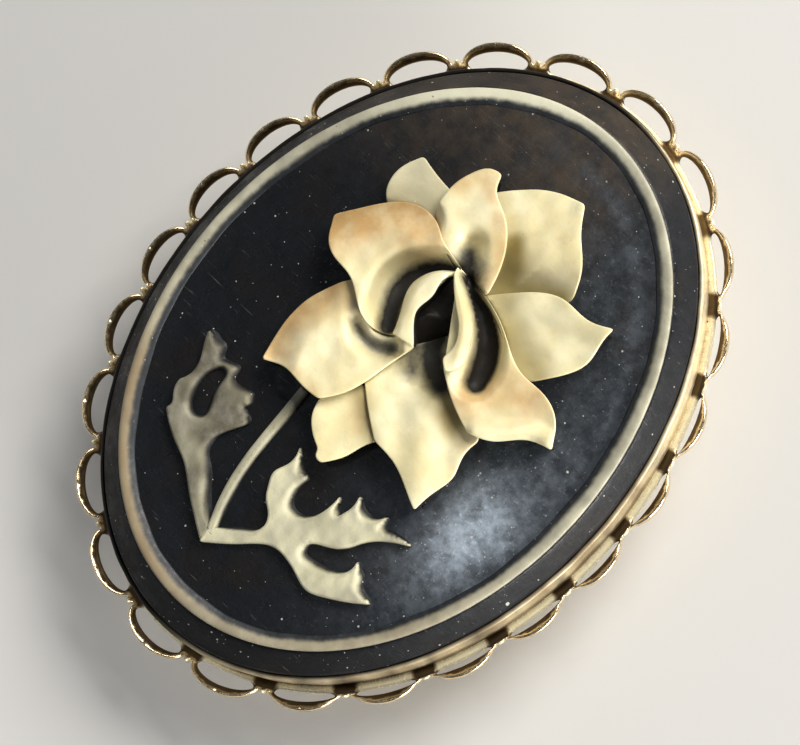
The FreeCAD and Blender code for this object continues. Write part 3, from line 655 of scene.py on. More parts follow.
# for each petal, from the top one down: its outline; the way it points, its length, and its heights
# at the heart, at the tip and added at its sides; swells, as line, core, soft and height; paints, as
# label, line, core, soft and strength
# shade strokes are painted shade; grey strokes are a greyer tone and, along grooves, painted shade
PETALS = {
    "petal_inner_right": (
        [(-0.7, 6.85, C), (-0.55, 6.3, C), (0.6, 5.25), (1.9, 4.2), (2.4, 3.2), (2.35, 2.4, C),
         (3.0, 1.9, C), (3.4, 2.8), (2.9, 4.0), (1.9, 5.3), (0.6, 6.1)],
        (20, 3.2, 6.9, 6.8, 0.0),
        [(GROOVE_RIGHT, 0.1, 1.3, -1.5)],
        [("dark", GROOVE_RIGHT, 0.3, 1.05, 1.0),
         ("shade", [(-0.5, 6.5), (0.6, 5.6), (2.0, 4.4), (2.8, 3.0)], 0.0, 0.8, 0.5)]),
    "petal_inner_left": (
        [(-0.7, 6.85, C), (-1.5, 6.0), (-2.25, 4.5), (-1.9, 3.4), (-1.35, 2.5), (-0.9, 1.4, C),
         (0.7, 1.7, C), (0.0, 2.4), (-0.7, 3.4), (-0.6, 4.6), (-0.8, 5.6), (-0.55, 6.3, C)],
        (190, 2.4, 6.9, 6.9, 0.0),
        [(GROOVE_LEFT, 0.1, 1.4, -1.6)],
        [("dark", GROOVE_LEFT, 0.25, 0.85, 1.0)]),
    "petal_right": (
        [(-0.7, 6.85, C), (1.7, 6.6), (4.0, 5.8), (6.1, 4.9), (8.0, 4.9), (9.3, 4.4), (10.5, 2.9, C),
         (9.1, 2.4), (7.6, 0.9), (6.3, 0.3, C), (4.6, 0.9), (2.7, 2.0, C), (1.0, 4.4, C)],
        (-10, 10.0, 6.4, 6.1, 0.2),
        [(GROOVE_RIGHT, 0.2, 1.5, -1.7), ([(6.5, 0.8), (7.5, 1.7), (8.7, 2.9), (9.9, 3.2)], 0.1, 0.7, 0.3),
         ([(6.3, 2.4), (7.6, 3.3), (8.7, 3.8)], 0.2, 1.5, -0.2)],
        [("dark", GROOVE_RIGHT, 0.5, 1.0, 1.0),
         ("warm", [(4.9, 1.6), (5.4, 2.7), (6.3, 3.8), (7.6, 4.2)], 0.4, 1.9, 0.7)]),
    "petal_upper_left": (
        [(-8.6, 4.05, C), (-7.4, 5.8), (-5.9, 7.45), (-4.3, 7.95), (-2.5, 7.3, C), (-0.7, 6.85, C),
         (-0.9, 4.2, C), (-0.9, 1.5, C), (-2.2, 0.85), (-3.6, 1.3), (-5.2, 2.15), (-6.8, 2.35),
         (-7.85, 3.1)],
        (175, 8.8, 6.5, 6.3, 0.2),
        [(GROOVE_LEFT, 0.2, 1.7, -1.8),
         ([(-8.6, 4.0), (-7.6, 5.7), (-6.1, 7.3), (-4.3, 8.1)], 0.0, 2.0, -0.8)],
        [("dark", GROOVE_LEFT, 0.3, 0.95, 1.0),
         ("warm", [(-8.4, 3.7), (-7.4, 5.4), (-6.2, 6.8), (-4.6, 7.5)], 0.7, 3.7, 0.95),
         ("shade", [(-8.6, 3.7), (-8.0, 5.2), (-6.6, 6.9), (-4.8, 7.9)], 0.0, 1.7, 0.3)]),
    "petal_top_left": (
        [(-4.2, 8.1, C), (-4.4, 9.6), (-4.0, 11.4), (-3.4, 12.2), (-2.7, 12.4, C), (-2.3, 11.5),
         (-1.2, 10.9), (0.0, 10.0), (1.0, 8.3), (1.45, 6.8, C), (0.0, 6.3, C), (-2.4, 6.8, C)],
        (110, 8.6, 5.5, 6.4, 0.1),
        [([(-1.3, 8.2), (-0.7, 7.5), (-0.3, 6.7)], 0.1, 1.3, -0.8)],
        [("dark", [(-1.1, 7.8, 0.5), (-0.7, 7.3, 0.9), (-0.2, 6.7, 1.1)], 0.1, 1.9, 0.95),
         ("grey", [(-1.9, 7.2), (-1.0, 7.3)], 0.2, 0.9, 0.7),
         ("warm", [(-4.2, 10.6), (-3.4, 11.8), (-2.3, 11.4)], 0.3, 1.3, 0.6),
         ("warm", [(-1.0, 10.4), (-0.1, 9.7), (0.8, 8.6), (1.2, 7.4)], 0.2, 1.1, 0.55),
         ("shade", [(-3.9, 8.4), (-2.6, 7.5)], 0.0, 0.8, 0.3)]),
    "petal_left": (
        [(-5.2, 1.7, C), (-6.0, 0.0), (-6.25, -1.9), (-5.65, -4.9, C), (-4.3, -4.3), (-2.8, -4.35),
         (-1.5, -4.25, C), (-0.5, -2.7), (0.0, -0.6), (0.5, 1.7, C), (-1.5, 3.2, C), (-4.0, 3.4, C)],
        (237, 10.8, 5.8, 6.0, 0.2),
        [([(-3.3, 0.5, 0.6), (-2.2, 0.1, 1.0), (-1.2, 0.3, 1.0), (-0.5, 0.9, 0.8)], 0.1, 1.0, -0.7),
         ([(-0.25, 1.35), (-0.05, 1.5)], 0.1, 0.5, 0.35),
         ([(-5.2, -4.2), (-6.0, -2.0), (-5.8, 0.2)], 0.0, 1.6, -0.45)],
        [("dark", [(-3.0, 0.4, 0.4), (-2.1, 0.15, 0.8), (-1.25, 0.3, 1.0), (-0.5, 0.9, 0.8)],
          0.12, 0.55, 0.75),
         ("grey", [(-3.6, 1.1), (-3.0, 0.5), (-2.0, 0.2), (-0.7, 0.7)], 0.2, 0.9, 0.8),
         ("warm", [(-5.7, -3.9), (-6.2, -1.9), (-5.9, -0.1), (-5.3, 1.2)], 0.3, 2.4, 0.8),
         ("shade", [(-6.0, -3.5), (-6.3, -1.9), (-6.0, 0.0), (-5.2, 1.8), (-4.0, 1.6)], 0.0, 1.2, 0.4),
         ("warm", [(-5.2, -4.5), (-4.0, -4.2), (-2.0, -4.2)], 0.1, 0.8, 0.4)]),
    "petal_lower_right": (
        [(-0.3, -1.7, C), (1.0, -2.7), (2.6, -3.75, C), (4.2, -3.85), (5.8, -4.4), (7.15, -5.0, C),
         (7.25, -3.4), (7.4, -2.1), (6.95, -0.8), (7.0, 0.4, C), (4.0, 3.0, C), (1.6, 4.2, C),
         (0.0, 1.5, C)],
        (-53, 11.5, 4.9, 6.1, 0.2),
        [([(1.4, 2.4), (1.5, 1.0)], 0.2, 1.6, -0.4),
         ([(3.2, -0.6), (5.4, -2.4), (6.8, -4.4)], 0.1, 1.6, 0.25)],
        [("dark", [(0.6, 3.4, 1.1), (1.1, 2.3, 1.0), (2.0, 1.6, 1.0), (3.0, 1.25, 0.85)], 0.2, 1.55, 1.0),
         ("dark", [(0.4, 2.0, 0.8), (0.8, 1.1, 1.0), (1.1, 0.6, 0.8)], 0.0, 1.6, 0.8),
         ("shade", [(2.4, 1.5), (3.6, 0.8), (5.2, 0.3)], 0.1, 1.8, 0.95),
         ("shade", [(0.0, -1.5), (1.2, -2.9), (2.6, -3.8)], 0.0, 0.9, 0.35),
         ("warm", [(4.5, 0.2), (5.8, -0.2), (6.8, -0.3)], 0.1, 0.9, 0.35)]),
    "petal_upper_right": (
        [(1.2, 6.6, C), (2.9, 8.4), (4.8, 9.6), (6.8, 9.7), (8.25, 10.35, C), (8.25, 9.4), (8.5, 8.1),
         (7.7, 6.1), (6.7, 4.8, C), (4.0, 4.6, C)],
        (35, 10.3, 5.0, 6.2, 0.2),
        [([(4.2, 7.4), (6.2, 8.1), (7.4, 8.9)], 0.2, 1.3, -0.14)],
        [("shade", [(2.0, 7.4), (3.2, 6.6), (4.9, 5.9), (6.6, 5.2)], 0.3, 1.9, 0.6),
         ("shade", [(4.0, 7.6), (5.8, 8.3), (7.2, 8.9)], 0.0, 0.6, 0.2),
         ("grey", [(3.0, 7.4), (4.4, 7.0), (5.6, 6.8)], 0.2, 1.4, 0.12)]),
    "petal_bottom": (
        [(-1.6, -4.1, C), (-1.2, -5.2), (-0.2, -6.05), (0.5, -6.35, C), (0.6, -6.7), (1.1, -6.85, C),
         (1.9, -5.6), (2.3, -4.3), (2.8, -3.4, C), (1.5, -1.6, C), (-0.8, -2.0, C)],
        (-85, 11.0, 4.8, 5.6, 0.0),
        [],
        [("shade", [(-0.2, -1.8), (0.95, -2.8), (2.4, -3.7)], 0.1, 1.2, 0.6),
         ("warm", [(0.4, -3.0), (1.2, -3.8)], 0.1, 1.0, 0.4)]),
    "petal_top": (
        [(-2.6, 11.2, C), (-1.4, 12.5), (0.3, 13.8), (2.0, 14.4, C), (2.9, 13.1), (4.4, 11.6),
         (5.2, 10.0, C), (4.8, 8.4, C), (1.4, 6.2, C), (-1.2, 8.6, C)],
        (70, 10.0, 4.7, 6.0, 0.1),
        [([(1.2, 8.2), (2.6, 8.7), (4.0, 9.4)], 0.2, 2.2, -0.45)],
        [("shade", [(0.4, 10.0, 0.6), (1.3, 8.6, 1.0), (1.8, 7.6, 1.2), (3.2, 8.4, 1.2), (4.6, 9.3, 0.8)],
          0.3, 1.9, 0.95),
         ("shade", [(-2.4, 11.4), (-1.2, 11.0), (0.2, 10.2)], 0.0, 0.9, 0.35),
         ("grey", [(1.4, 9.2), (2.5, 9.2), (3.8, 9.9)], 0.3, 2.6, 0.35)]),
    "petal_back_left": (
        [(-6.0, 6.3, C), (-7.35, 7.2), (-7.65, 8.4), (-7.05, 10.1, C), (-5.8, 9.85), (-3.6, 9.7, C),
         (-3.2, 7.0, C)],
        (140, 9.0, 4.7, 5.4, 0.0),
        [],
        [("grey", [(-7.0, 7.5), (-6.5, 9.5), (-4.5, 9.2)], 2.0, 3.0, 0.45),
         ("shade", [(-7.2, 7.0), (-5.8, 8.0), (-4.2, 8.6), (-4.0, 9.6)], 0.1, 1.1, 0.35)]),
    "flower_heart": (
        [(-0.75, 6.6, C), (-1.4, 4.4), (-0.6, 1.6, C), (2.8, 1.9, C), (2.6, 3.6), (1.4, 5.4)],
        (-60, 3.0, 5.1, 5.0, 0.0),
        [([(-0.2, 3.1), (-0.1, 3.4)], 0.1, 0.7, 0.5)],
        [("dark", [(0.5, 6.0), (0.5, 4.0), (1.0, 2.0)], 9.0, 10.0, 1.0)]),
}
PETAL_UNDERCUT = 0.38
HEART_UNDERCUT = 0.12           # of the two inner petals and the heart
HEART_STEP = 0.13               # spacing of their points
PETAL_WALLS = ((0.12, 0.2, 0.0, 0.1), (0.24, 0.35, 0.06, 0.35), (0.38, 0.6, 0.7, 0.9),
               (9.0, 0.75, 1.0, 1.0), (9.0, 1.0, 0.7, 1.0))
PETAL_LOWEST = BACK + 4.3       # a petal's top stays at least a little above the field
LAYER_GAP = 0.6                 # how far a petal's top stays under that of the one over it
LAYER_RISE = 0.75               # how fast it may rise beyond that one's edge
LAYER_REACH = 3.0               # and how far out it is held down


def plain_height(name, xy):
    """A petal's own height above the cup's back, before the petals over it press it down."""
    _, (pointing, length, inner, outer, sides), swells, _ = PETALS[name]
    way = radians(pointing)
    off = xy - HEART
    along = (off[:, 0] * cos(way) + off[:, 1] * sin(way)) / length
    across = (off[:, 1] * cos(way) - off[:, 0] * sin(way)) / HALF_WIDTH
    z = inner + (outer - inner) * np.clip(along, -0.2, 1.2) + sides * (np.clip(across, -1.5, 1.5) ** 2 - 0.5)
    for line, core, soft, height in swells:
        z = z + height * brushed(xy, line, core, soft)
    return z


def petal_height(name, xy, rims):
    """A petal's height, kept under every petal that lies over it."""
    z = plain_height(name, xy)
    for other in PETALS:
        if other == name:
            break
        away = edge_distance(xy, rims[other])
        within = inside(xy, rims[other])
        beyond = np.maximum(np.where(within, -away, away) + 0.2, 0)
        limit = plain_height(other, xy) - LAYER_GAP + LAYER_RISE * beyond
        z = np.where(within | (away < LAYER_REACH), np.minimum(z, limit), z)
    return z


def painted(xy, label, paints):
    """One attribute of a petal: the strongest of its brush strokes with that label."""
    total = np.zeros(len(xy))
    for kind, line, core, soft, strength in paints:
        if kind == label:
            total = np.maximum(total, strength * brushed(xy, line, core, soft))
    return total


def flower():
    """The nine outer petals, the two inner ones and the heart."""
    rims = {name: outline(parts[0]) for name, parts in PETALS.items()}
    for name, (_, _, _, paints) in PETALS.items():
        def top(xy, inset, name=name):
            swelling = 0.01 * np.exp(-((inset - 0.3) / 0.16) ** 2)
            uneven = 0.05 * wobble(xy, 2.6, len(name))
            return np.maximum(BACK + petal_height(name, xy, rims) + swelling + uneven, PETAL_LOWEST)

        brushes = {label: lambda xy, label=label, paints=paints: painted(xy, label, paints)
                   for label in ("dark", "shade", "warm", "grey")}
        tight = "inner" in name or name == "flower_heart"
        carve(name, rims[name], top, FIELD - 0.05, brushes, IVORY,
              PETAL_WALLS,
              HEART_UNDERCUT if tight else PETAL_UNDERCUT, spacing=HEART_STEP if tight else GRID_STEP)


# --- the stem and leaves ---
LEAF_HEIGHT = 0.45
LEAF_SUNK = -0.10               # height of an edge, just under the field
LEAF_FLOOR = FIELD - 0.2
LEAF_STEP = 0.17                # spacing of a leaf's points
LEAF_RIM_STEP = 0.1
LEAF_WALLS = ((9.0, 0.5, 0.0, 1.0), (9.0, 1.0, 0.0, 1.0))
STEM_LINE = [(-0.95, -14.4), (-1.75, -12.5), (-2.35, -10.0), (-2.65, -6.8), (-2.85, -4.3)]
STEM_HALF_WIDTH = 0.36
LEAF_LEFT = [
    (-1.1, -15.1, C), (-2.6, -14.2), (-3.9, -13.35), (-5.2, -12.45), (-6.5, -11.95), (-8.3, -10.9, C),
    (-8.05, -10.5, C), (-8.75, -9.6), (-8.85, -9.1, C), (-8.55, -8.6, C), (-8.6, -7.8), (-9.1, -6.9),
    (-9.65, -5.8, C), (-8.8, -5.9), (-8.1, -5.8, C), (-7.8, -6.5), (-7.0, -6.25), (-6.5, -6.1, C),
    (-6.4, -6.9), (-5.7, -6.9), (-4.9, -6.6, C), (-4.5, -7.3, C), (-4.8, -7.8, C), (-4.2, -7.8),
    (-3.8, -8.2, C), (-4.3, -9.1), (-4.7, -10.0), (-4.6, -10.8), (-3.9, -11.4), (-2.8, -12.6),
    (-1.3, -14.0, C)]
LEAF_LEFT_HOLE = [
    (-7.2, -7.1), (-6.97, -8.0), (-6.57, -9.0), (-6.3, -9.65, C), (-6.7, -9.85), (-7.2, -9.5),
    (-7.6, -8.6), (-7.6, -7.7, C)]
LEAF_RIGHT = [
    (-1.2, -15.2, C), (0.8, -13.5), (2.4, -12.3), (3.3, -12.3), (4.2, -12.5), (5.4, -12.8), (6.4, -12.4),
    (7.4, -11.8), (8.9, -10.65, C), (8.0, -10.5), (7.5, -10.2), (7.45, -9.8, C), (7.0, -9.7),
    (6.35, -9.3, C), (6.5, -10.0), (6.1, -10.6), (5.1, -11.1), (3.9, -11.3, C), (3.7, -10.8),
    (4.5, -10.2), (5.5, -9.4), (6.1, -8.35), (7.0, -7.45), (8.3, -6.65, C), (7.2, -6.7), (6.3, -7.0, C),
    (5.9, -6.2, C), (5.4, -7.0), (4.7, -7.1), (3.8, -6.5, C), (4.0, -7.5), (3.7, -8.4, C),
    (3.0, -7.3, C), (2.9, -8.9), (2.2, -9.8), (1.4, -9.8), (0.95, -9.0), (1.1, -7.9, C), (0.3, -7.8),
    (-0.8, -6.9, C), (-0.5, -8.1), (-0.85, -9.1), (-0.5, -10.0), (0.0, -10.7), (0.6, -11.1),
    (1.0, -11.8), (0.2, -12.75), (-1.4, -14.2, C)]
LEAF_FOOT = (-1.3, -14.5)       # where both leaves and the stem meet


def stem_outline():
    """The stem's line widened to both sides, with a corner at each end of a side."""
    left = [(x - STEM_HALF_WIDTH, y) for x, y in STEM_LINE]
    right = [(x + STEM_HALF_WIDTH, y) for x, y in reversed(STEM_LINE)]
    for side in (left, right):
        side[0] += (C,)
        side[-1] += (C,)
    return left + right


def leaves():
    """The low pieces: crisp along their lower edges, rubbed away softly along their upper ones."""
    for name, points, gap, soft, tone in (("leaf_left", LEAF_LEFT, LEAF_LEFT_HOLE, 0.9, 0.08),
                                          ("leaf_right", LEAF_RIGHT, None, 0.85, 0.85),
                                          ("stem", stem_outline(), None, 0.3, 0.5)):
        rim = outline(points, LEAF_RIM_STEP, 4)
        facing = outwards(rim)
        upper = soften(np.clip(facing[:, 1] * 0.95 + facing[:, 0] * 0.35, 0, 1), 6)
        rim = soften(rim + facing * (0.3 * soft * upper)[:, None], 3)
        hole = outline(gap, LEAF_RIM_STEP, 4) if gap else None

        def fade(xy, rim=rim, hole=hole, upper=upper, soft=soft):
            """0 on the edge, 1 where the piece has its full height and colour."""
            dist, place = nearest(xy, closed(rim))
            rub = upper[np.round(place).astype(int) % len(rim)]
            foot = np.exp(-((xy - LEAF_FOOT) ** 2).sum(1) / 0.8)
            full = dist / (0.1 + soft * rub * (1 - foot))
            if hole is not None:
                full = np.minimum(full, edge_distance(xy, hole) / 0.55)
            return np.clip(full, 0, 1)

        def top(xy, inset, fade=fade):
            share = fade(xy)
            z = LEAF_SUNK + (LEAF_HEIGHT - LEAF_SUNK) * ease(0.05, 0.95, share)
            return FIELD + z + 0.04 * share * wobble(xy, 1.8, 3.0)

        def dark(xy, fade=fade):
            return 1 - ease(0.15, 0.85, fade(xy))

        def pale(xy, tone=tone):
            return np.clip(tone + 0.25 * wobble(xy, 3.5, 1.0), 0, 1)
        carve(name, rim, top, LEAF_FLOOR, {"dark": dark, "pale": pale}, LEAF, LEAF_WALLS,
              hole=hole, spacing=LEAF_STEP)


# --- the tablet, its border line and its setting ---
def reflection_at(x, y):
    """Where the painted reflection lies on the field: most of it at the lower right."""
    patch = np.exp(-(((x - 10.1) / 1.9) ** 2 + ((y + 3.8) / 3.2) ** 2))
    wide = np.exp(-(((x - 9.8) / 3.4) ** 2 + ((y + 3.0) / 6.5) ** 2))
    right = ease(-4, 13, x + 0.4 * y)
    from_middle = np.hypot(x / RING_HALF.x, y / RING_HALF.y)
    beside_line = np.exp(-((from_middle - 0.87) / 0.02) ** 2) * ease(2, 12, x + 0.5 * y)
    reflection_share = 0.004 + 0.78 * patch + 0.17 * wide + 0.075 * right + 0.08 * beside_line + 0.02 * ease(2, 15, y)
    return np.clip(reflection_share * (1 - 0.85 * ease(0.97, 1.0, from_middle)), 0, 1)


def tablet():
    """The black tablet: a girdle, a bevel up to the line, and a slightly uneven field."""
    hx, hy = TABLET_HALF.x, TABLET_HALF.y
    rx, ry = RING_HALF.x, RING_HALF.y
    rings = [oval_ring(POINT, POINT, TABLET_LOW.z),
             oval_ring(hx - TABLET_FOOT, hy - TABLET_FOOT, TABLET_LOW.z),
             oval_ring(hx, hy, TABLET_LOW.z + TABLET_FOOT),
             oval_ring(hx, hy, GIRDLE - 0.25),
             oval_ring(hx - 0.01, hy - 0.01, GIRDLE - 0.1),
             oval_ring(hx - 0.05, hy - 0.06, GIRDLE + 0.08)]
    bevel_steps = 10
    for k in range(1, bevel_steps + 1):
        share = k / bevel_steps
        level = GIRDLE + (FIELD - GIRDLE) * share - 0.06 * share ** 6
        ring = oval_ring(hx + (rx - hx) * share, hy + (ry - hy) * share, level)
        ring[:, 2] += 0.035 * wobble(ring, 5.0, 1.0) * sin(pi * share)
        rings.append(ring)
    under_line = 0.3 - RING_WIDTH
    field_steps = 46
    for k in range(field_steps + 1):
        share = 1 - k / field_steps
        ring = oval_ring(max((rx + under_line) * share, POINT), max((ry + under_line) * share, POINT), FIELD)
        calm = ease(0.0, 0.1, 1 - share)
        uneven = 0.035 * wobble(ring, 6.0) + 0.012 * wobble(ring, 1.7, 5.0)
        ring[:, 2] += (uneven - 0.04) * calm - 0.02
        rings.append(ring)
    points, faces = lathe(rings)
    x, y = points[:, 0], points[:, 1]
    bevel = ease(1.0, 1.02, np.hypot(x / rx, y / ry))
    brown = 0.6 * ease(5, 15, y) * ease(6, 0, x)
    new_piece("cameo_ground", points, faces, black_resin(),
              {"painted_reflection": reflection_at(x, y), "bevel": bevel, "brown": brown})


# across the ivory line from its outer side: how far out, how far below its top, how dark
LINE_SECTION = ((0.0, 0.12, 0.5), (-0.03, 0.04, 0.1), (-0.1, 0.0, 0.0), (-0.25, -0.01, 0.0),
                (-0.4, 0.01, 0.05), (-0.52, 0.04, 0.3), (-0.64, 0.09, 0.6), (-0.78, 0.16, 0.9),
                (-0.92, 0.22, 1.0))


def border_line():
    """The ivory oval: a crisp outer edge, a rounded top and a soft slope inwards."""
    turn = np.linspace(0, 2 * pi, ROUND_STEPS, endpoint=False)
    uneven = 0.05 * (np.sin(3 * turn + 1) + 0.6 * np.sin(7 * turn) + 0.5 * np.sin(13 * turn + 2)
                     + 0.4 * np.sin(29 * turn))
    low = FIELD - 0.3
    section = [(0.0, low, 1.0)] + [(offset, RING_TOP - drop, shade) for offset, drop, shade in LINE_SECTION]
    section += [(-1.0, FIELD - 0.03, 1.0), (-1.0, low, 1.0)]
    rings = []
    dark = []
    for offset, level, shade in section:
        shift = offset * (1 + uneven) - 0.02
        ring = oval_ring(RING_HALF.x + shift, RING_HALF.y + shift, level)
        if level > FIELD:
            ring[:, 2] += 0.02 * wobble(ring, 2.2, 2.0)
        ring[:, 2] = np.minimum(ring[:, 2], RING_TOP + 0.03)
        rings.append(ring)
        dark.append(np.full(ROUND_STEPS, shade))
    points, faces = lathe(rings, close=True)
    x, y = points[:, 0], points[:, 1]
    warm = ease(-6, -14, y) * ease(3, -6, x) + 0.5 * ease(0, -12, y)
    new_piece("cameo_border_ring", points, faces, border_paint(),
              {"dark": np.concatenate(dark), "warm": np.clip(warm, 0, 1),
               "pale": 0.9 * ease(8, 14, y) * ease(3, -4, x)})


def cup():
    """The drawn cup: a flat back turned up into a low wall with a burnished rim."""
    cx, cy = CUP_HALF.x, CUP_HALF.y
    turn_radius = 0.35
    rings = [oval_ring(POINT, POINT, BACK), oval_ring(0.5 * cx, 0.5 * cy, BACK)]
    for k in range(6):
        angle = radians(90 * k / 5)
        inward = turn_radius * (1 - sin(angle))
        rings.append(oval_ring(cx - inward, cy - inward, BACK + turn_radius * (1 - cos(angle))))
    for drop in (1.4, 1.1, 0.8, 0.5, 0.25):
        rings.append(oval_ring(cx, cy, CUP_TOP - drop))
    for ring in rings[2:]:
        spread = CUP_SPREAD * ease(0.25, 0.95, ring[:, 0] / cx) * ease(CUP_TOP - 0.15, BACK + 0.7, ring[:, 2])
        ring[:, :2] *= (1 + spread / np.hypot(ring[:, 0], ring[:, 1]))[:, None]
    for inward, drop in ((0.0, 0.15), (0.02, 0.06), (0.08, 0.01), (0.16, 0.0), (0.24, 0.03), (0.29, 0.1)):
        rings.append(oval_ring(cx - inward, cy - inward, CUP_TOP - drop))
    for ring in rings[2:]:
        dent = 0.02 * (wobble(ring, 3.0, 2.0) - 1)
        ring[:, :2] *= (1 + dent / cx)[:, None]
    rings.append(oval_ring(cx - CUP_WALL, cy - CUP_WALL, CUP_TOP - 0.3))
    rings.append(oval_ring(cx - CUP_WALL, cy - CUP_WALL, BACK + CUP_FLOOR))
    rings.append(oval_ring(POINT, POINT, BACK + CUP_FLOOR))
    points, faces = lathe(rings)
    x, y, z = points.T
    lower_right = ease(BACK, BACK + 0.3, z) * ease(10, 2, y) * ease(1, 8, x)
    tarnish_and_shade = 0.1 * ease(BACK + 1.1, BACK + 0.3, z) + lower_right * (0.75 + 0.5 * wobble(points, 2.4, 4.0))
    # the wall's -X side darkened near the rim, under the tablet's edge: painted shadow and grime
    under_rim = ease(CUP_TOP - 0.9, CUP_TOP - 0.2, z) * ease(0.45, -0.1, x / cx)
    # dark patches at the lower right: smears and painted shadow of the tablet's edge
    smears_and_shadow = 0.5 * lower_right * ease(0.0, 0.8, wobble(points, 2.0, 7.0))
    new_piece("setting_cup", points, faces, CUP_GILT,
              {"tarnish_and_shade": np.clip(tarnish_and_shade, 0, 1), "grime_and_shadow": np.maximum(under_rim, smears_and_shadow)})


def round_oval(half_x, half_y, count):
    """Angles round an oval from its +X end, and the length along it up to each."""
    turn = np.linspace(0, 2 * pi, count)
    x, y = half_x * np.cos(turn), half_y * np.sin(turn)
    run = np.concatenate([[0], np.cumsum(np.hypot(np.diff(x), np.diff(y)))])
    return turn, run


def bump_at(u, v, wide, high):
    """A round hump of height 1, fading out over its half width and half height."""
    return np.exp(-((u / wide) ** 2 + (v / high) ** 2))


def loop_outline(half):
    """One loop's plan, along and outwards: its outer side, its foot, the open part of its edge
    and its hole."""
    foot_at = CUP_WALL - 0.05       # just inside the cup's wall
    side = [(half, v) for v in np.linspace(foot_at, LACE_NOTCH + BUD_REACH, 9)]
    bud = [(half - BUD_RADIUS * sin(a), LACE_NOTCH + BUD_REACH - BUD_RADIUS * (1 - cos(a)))
           for a in np.linspace(0, pi / 2, 6)[1:]]
    right = side + bud
    left = [(-u, v) for u, v in reversed(right)]
    wide = half - BUD_RADIUS - 0.03
    high = LACE_REACH - LACE_NOTCH
    skipped = 0.12                  # of each end of the two arcs
    start = asin(skipped)
    arc = [(wide * cos(a), LACE_NOTCH + high * sin(a))
           for a in np.linspace(start, pi - start, 40)]
    foot = [(u, foot_at) for u in np.linspace(-half, half, 24)[1:-1]]
    hole_wide = HOLE_SHARE * half
    hole_high = high - LACE_RIBBON
    hole = [(hole_wide * cos(a), LACE_NOTCH + hole_high * sin(a))
            for a in np.linspace(skipped, pi - skipped, 34)]
    strip_side = np.concatenate([[0.12 - hole_wide], np.linspace(0.3 - hole_wide, hole_wide - 0.3, 18),
                                 [hole_wide - 0.12]])
    hole += [(u, LACE_STRIP) for u in strip_side]
    last = len(side) - 1
    return np.array(right + arc + left + foot), np.array(right[last:] + arc + left[:-last]), \
        soften(np.array(hole), 2)


def numbered_again(faces):
    """The points that some faces use, and the faces with those points numbered from 0."""
    used = sorted({k for face in faces for k in face})
    number = {k: i for i, k in enumerate(used)}
    return used, [tuple(number[k] for k in face) for face in faces]


def lace():
    """The openwork edge: one loop's plan filled and rounded, then repeated along the oval."""
    hx, hy = TABLET_HALF.x, TABLET_HALF.y
    turn, run = round_oval(hx, hy, 4001)
    spacing = run[-1] / LOOP_COUNT
    half = spacing / 2
    rim, open_edge, hole = loop_outline(half)
    xy, faces = fill_plan(rim, hole, LACE_STEP, LACE_RINGS)
    across, outward = np.abs(xy[:, 0]), xy[:, 1]
    to_edge = nearest(xy, open_edge)[0]
    inset = np.minimum(to_edge, edge_distance(xy, hole))

    thick = LACE_THICKNESS / 2
    lift = thick * np.sqrt(np.clip(1 - (1 - np.clip(inset / LACE_ROLL, 0, 1)) ** 2, 0, 1))
    bead = 0.06 * bump_at(to_edge - 0.13, 0, 0.09, 1) \
        + 0.2 * bump_at(across - half, outward - LACE_NOTCH - 0.2, 0.2, 0.2)
    channel = -0.10 * ease(0.15, 0.3, to_edge) * ease(0.0, 0.12, outward - LACE_STRIP)
    rise = LACE_LOW + thick * hypot(1, LACE_SLOPE) + LACE_SLOPE * (outward - CUP_WALL)
    top = rise + (lift + (bead + channel) * ease(0, 0.1, inset)) * 1.1
    bottom = rise - lift * 1.1

    hole_wide = HOLE_SHARE * half
    # bright gold stays on the outer rims; the buds and the strip take a painted highlight, the rest painted
    # shade and tarnish
    on_rim = 1 - ease(0.16, 0.26, to_edge)
    on_bud = bump_at(across - half, outward - LACE_NOTCH - 0.28, 0.3, 0.24)
    on_strip = (ease(0.28, 0.42, outward) * ease(LACE_STRIP + 0.1, LACE_STRIP + 0.02, outward)
                * ease(hole_wide, hole_wide - 0.3, across))
    shaded_and_tarnished = 1 - np.maximum.reduce([on_rim, on_bud, on_strip])

    count = len(xy)
    on_edge = inset < 1e-4
    foot = sorted(np.flatnonzero(np.abs(outward - rim[:, 1].min()) < 1e-6), key=lambda k: xy[k, 0])
    bend_at = [CUP_WALL, LACE_STRIP, LACE_REACH - LACE_RIBBON, LACE_REACH]
    bend = np.interp(outward, bend_at, [0.0, 1.0, -0.26, 0.0])
    points = []
    made = []
    for n in range(LOOP_COUNT):
        t = np.interp((n * spacing + xy[:, 0]) % run[-1], run, turn)
        out = np.stack([np.cos(t) / hx, np.sin(t) / hy], 1)
        out /= np.linalg.norm(out, axis=1)[:, None]
        shift = BENT_IN * ease(0.25, 0.95, out[:, 0]) * bend
        plan = np.stack([hx * np.cos(t), hy * np.sin(t)], 1) + out * (outward + shift)[:, None]
        first = 2 * count * n
        points.append(np.column_stack([plan, top + LACE_SLOPE * shift]))
        points.append(np.column_stack([plan, bottom + LACE_SLOPE * shift]))
        lower = first + np.where(on_edge, 0, count) + np.arange(count)
        made += [(first + a, first + b, first + c) for a, b, c in faces]
        made += [(lower[c], lower[b], lower[a]) for a, b, c in faces]
        made += [(first + a, first + b, lower[b], lower[a]) for a, b in zip(foot, foot[1:])]
    used, made = numbered_again(made)
    # dull brown painted shade and tarnish on the top, half as much underneath; pale gold painted highlight on
    # the strip and the buds
    tarnish_and_shade = np.tile(np.concatenate([0.95 * shaded_and_tarnished, 0.5 * shaded_and_tarnished]), LOOP_COUNT)
    pale = np.tile(np.maximum(on_strip, on_bud), 2 * LOOP_COUNT)
    new_piece("lace_edge", np.vstack(points)[used], made, LACE_GILT,
              {"tarnish_and_shade": tarnish_and_shade[used], "pale": pale[used]}, LOOPS_JOIN)


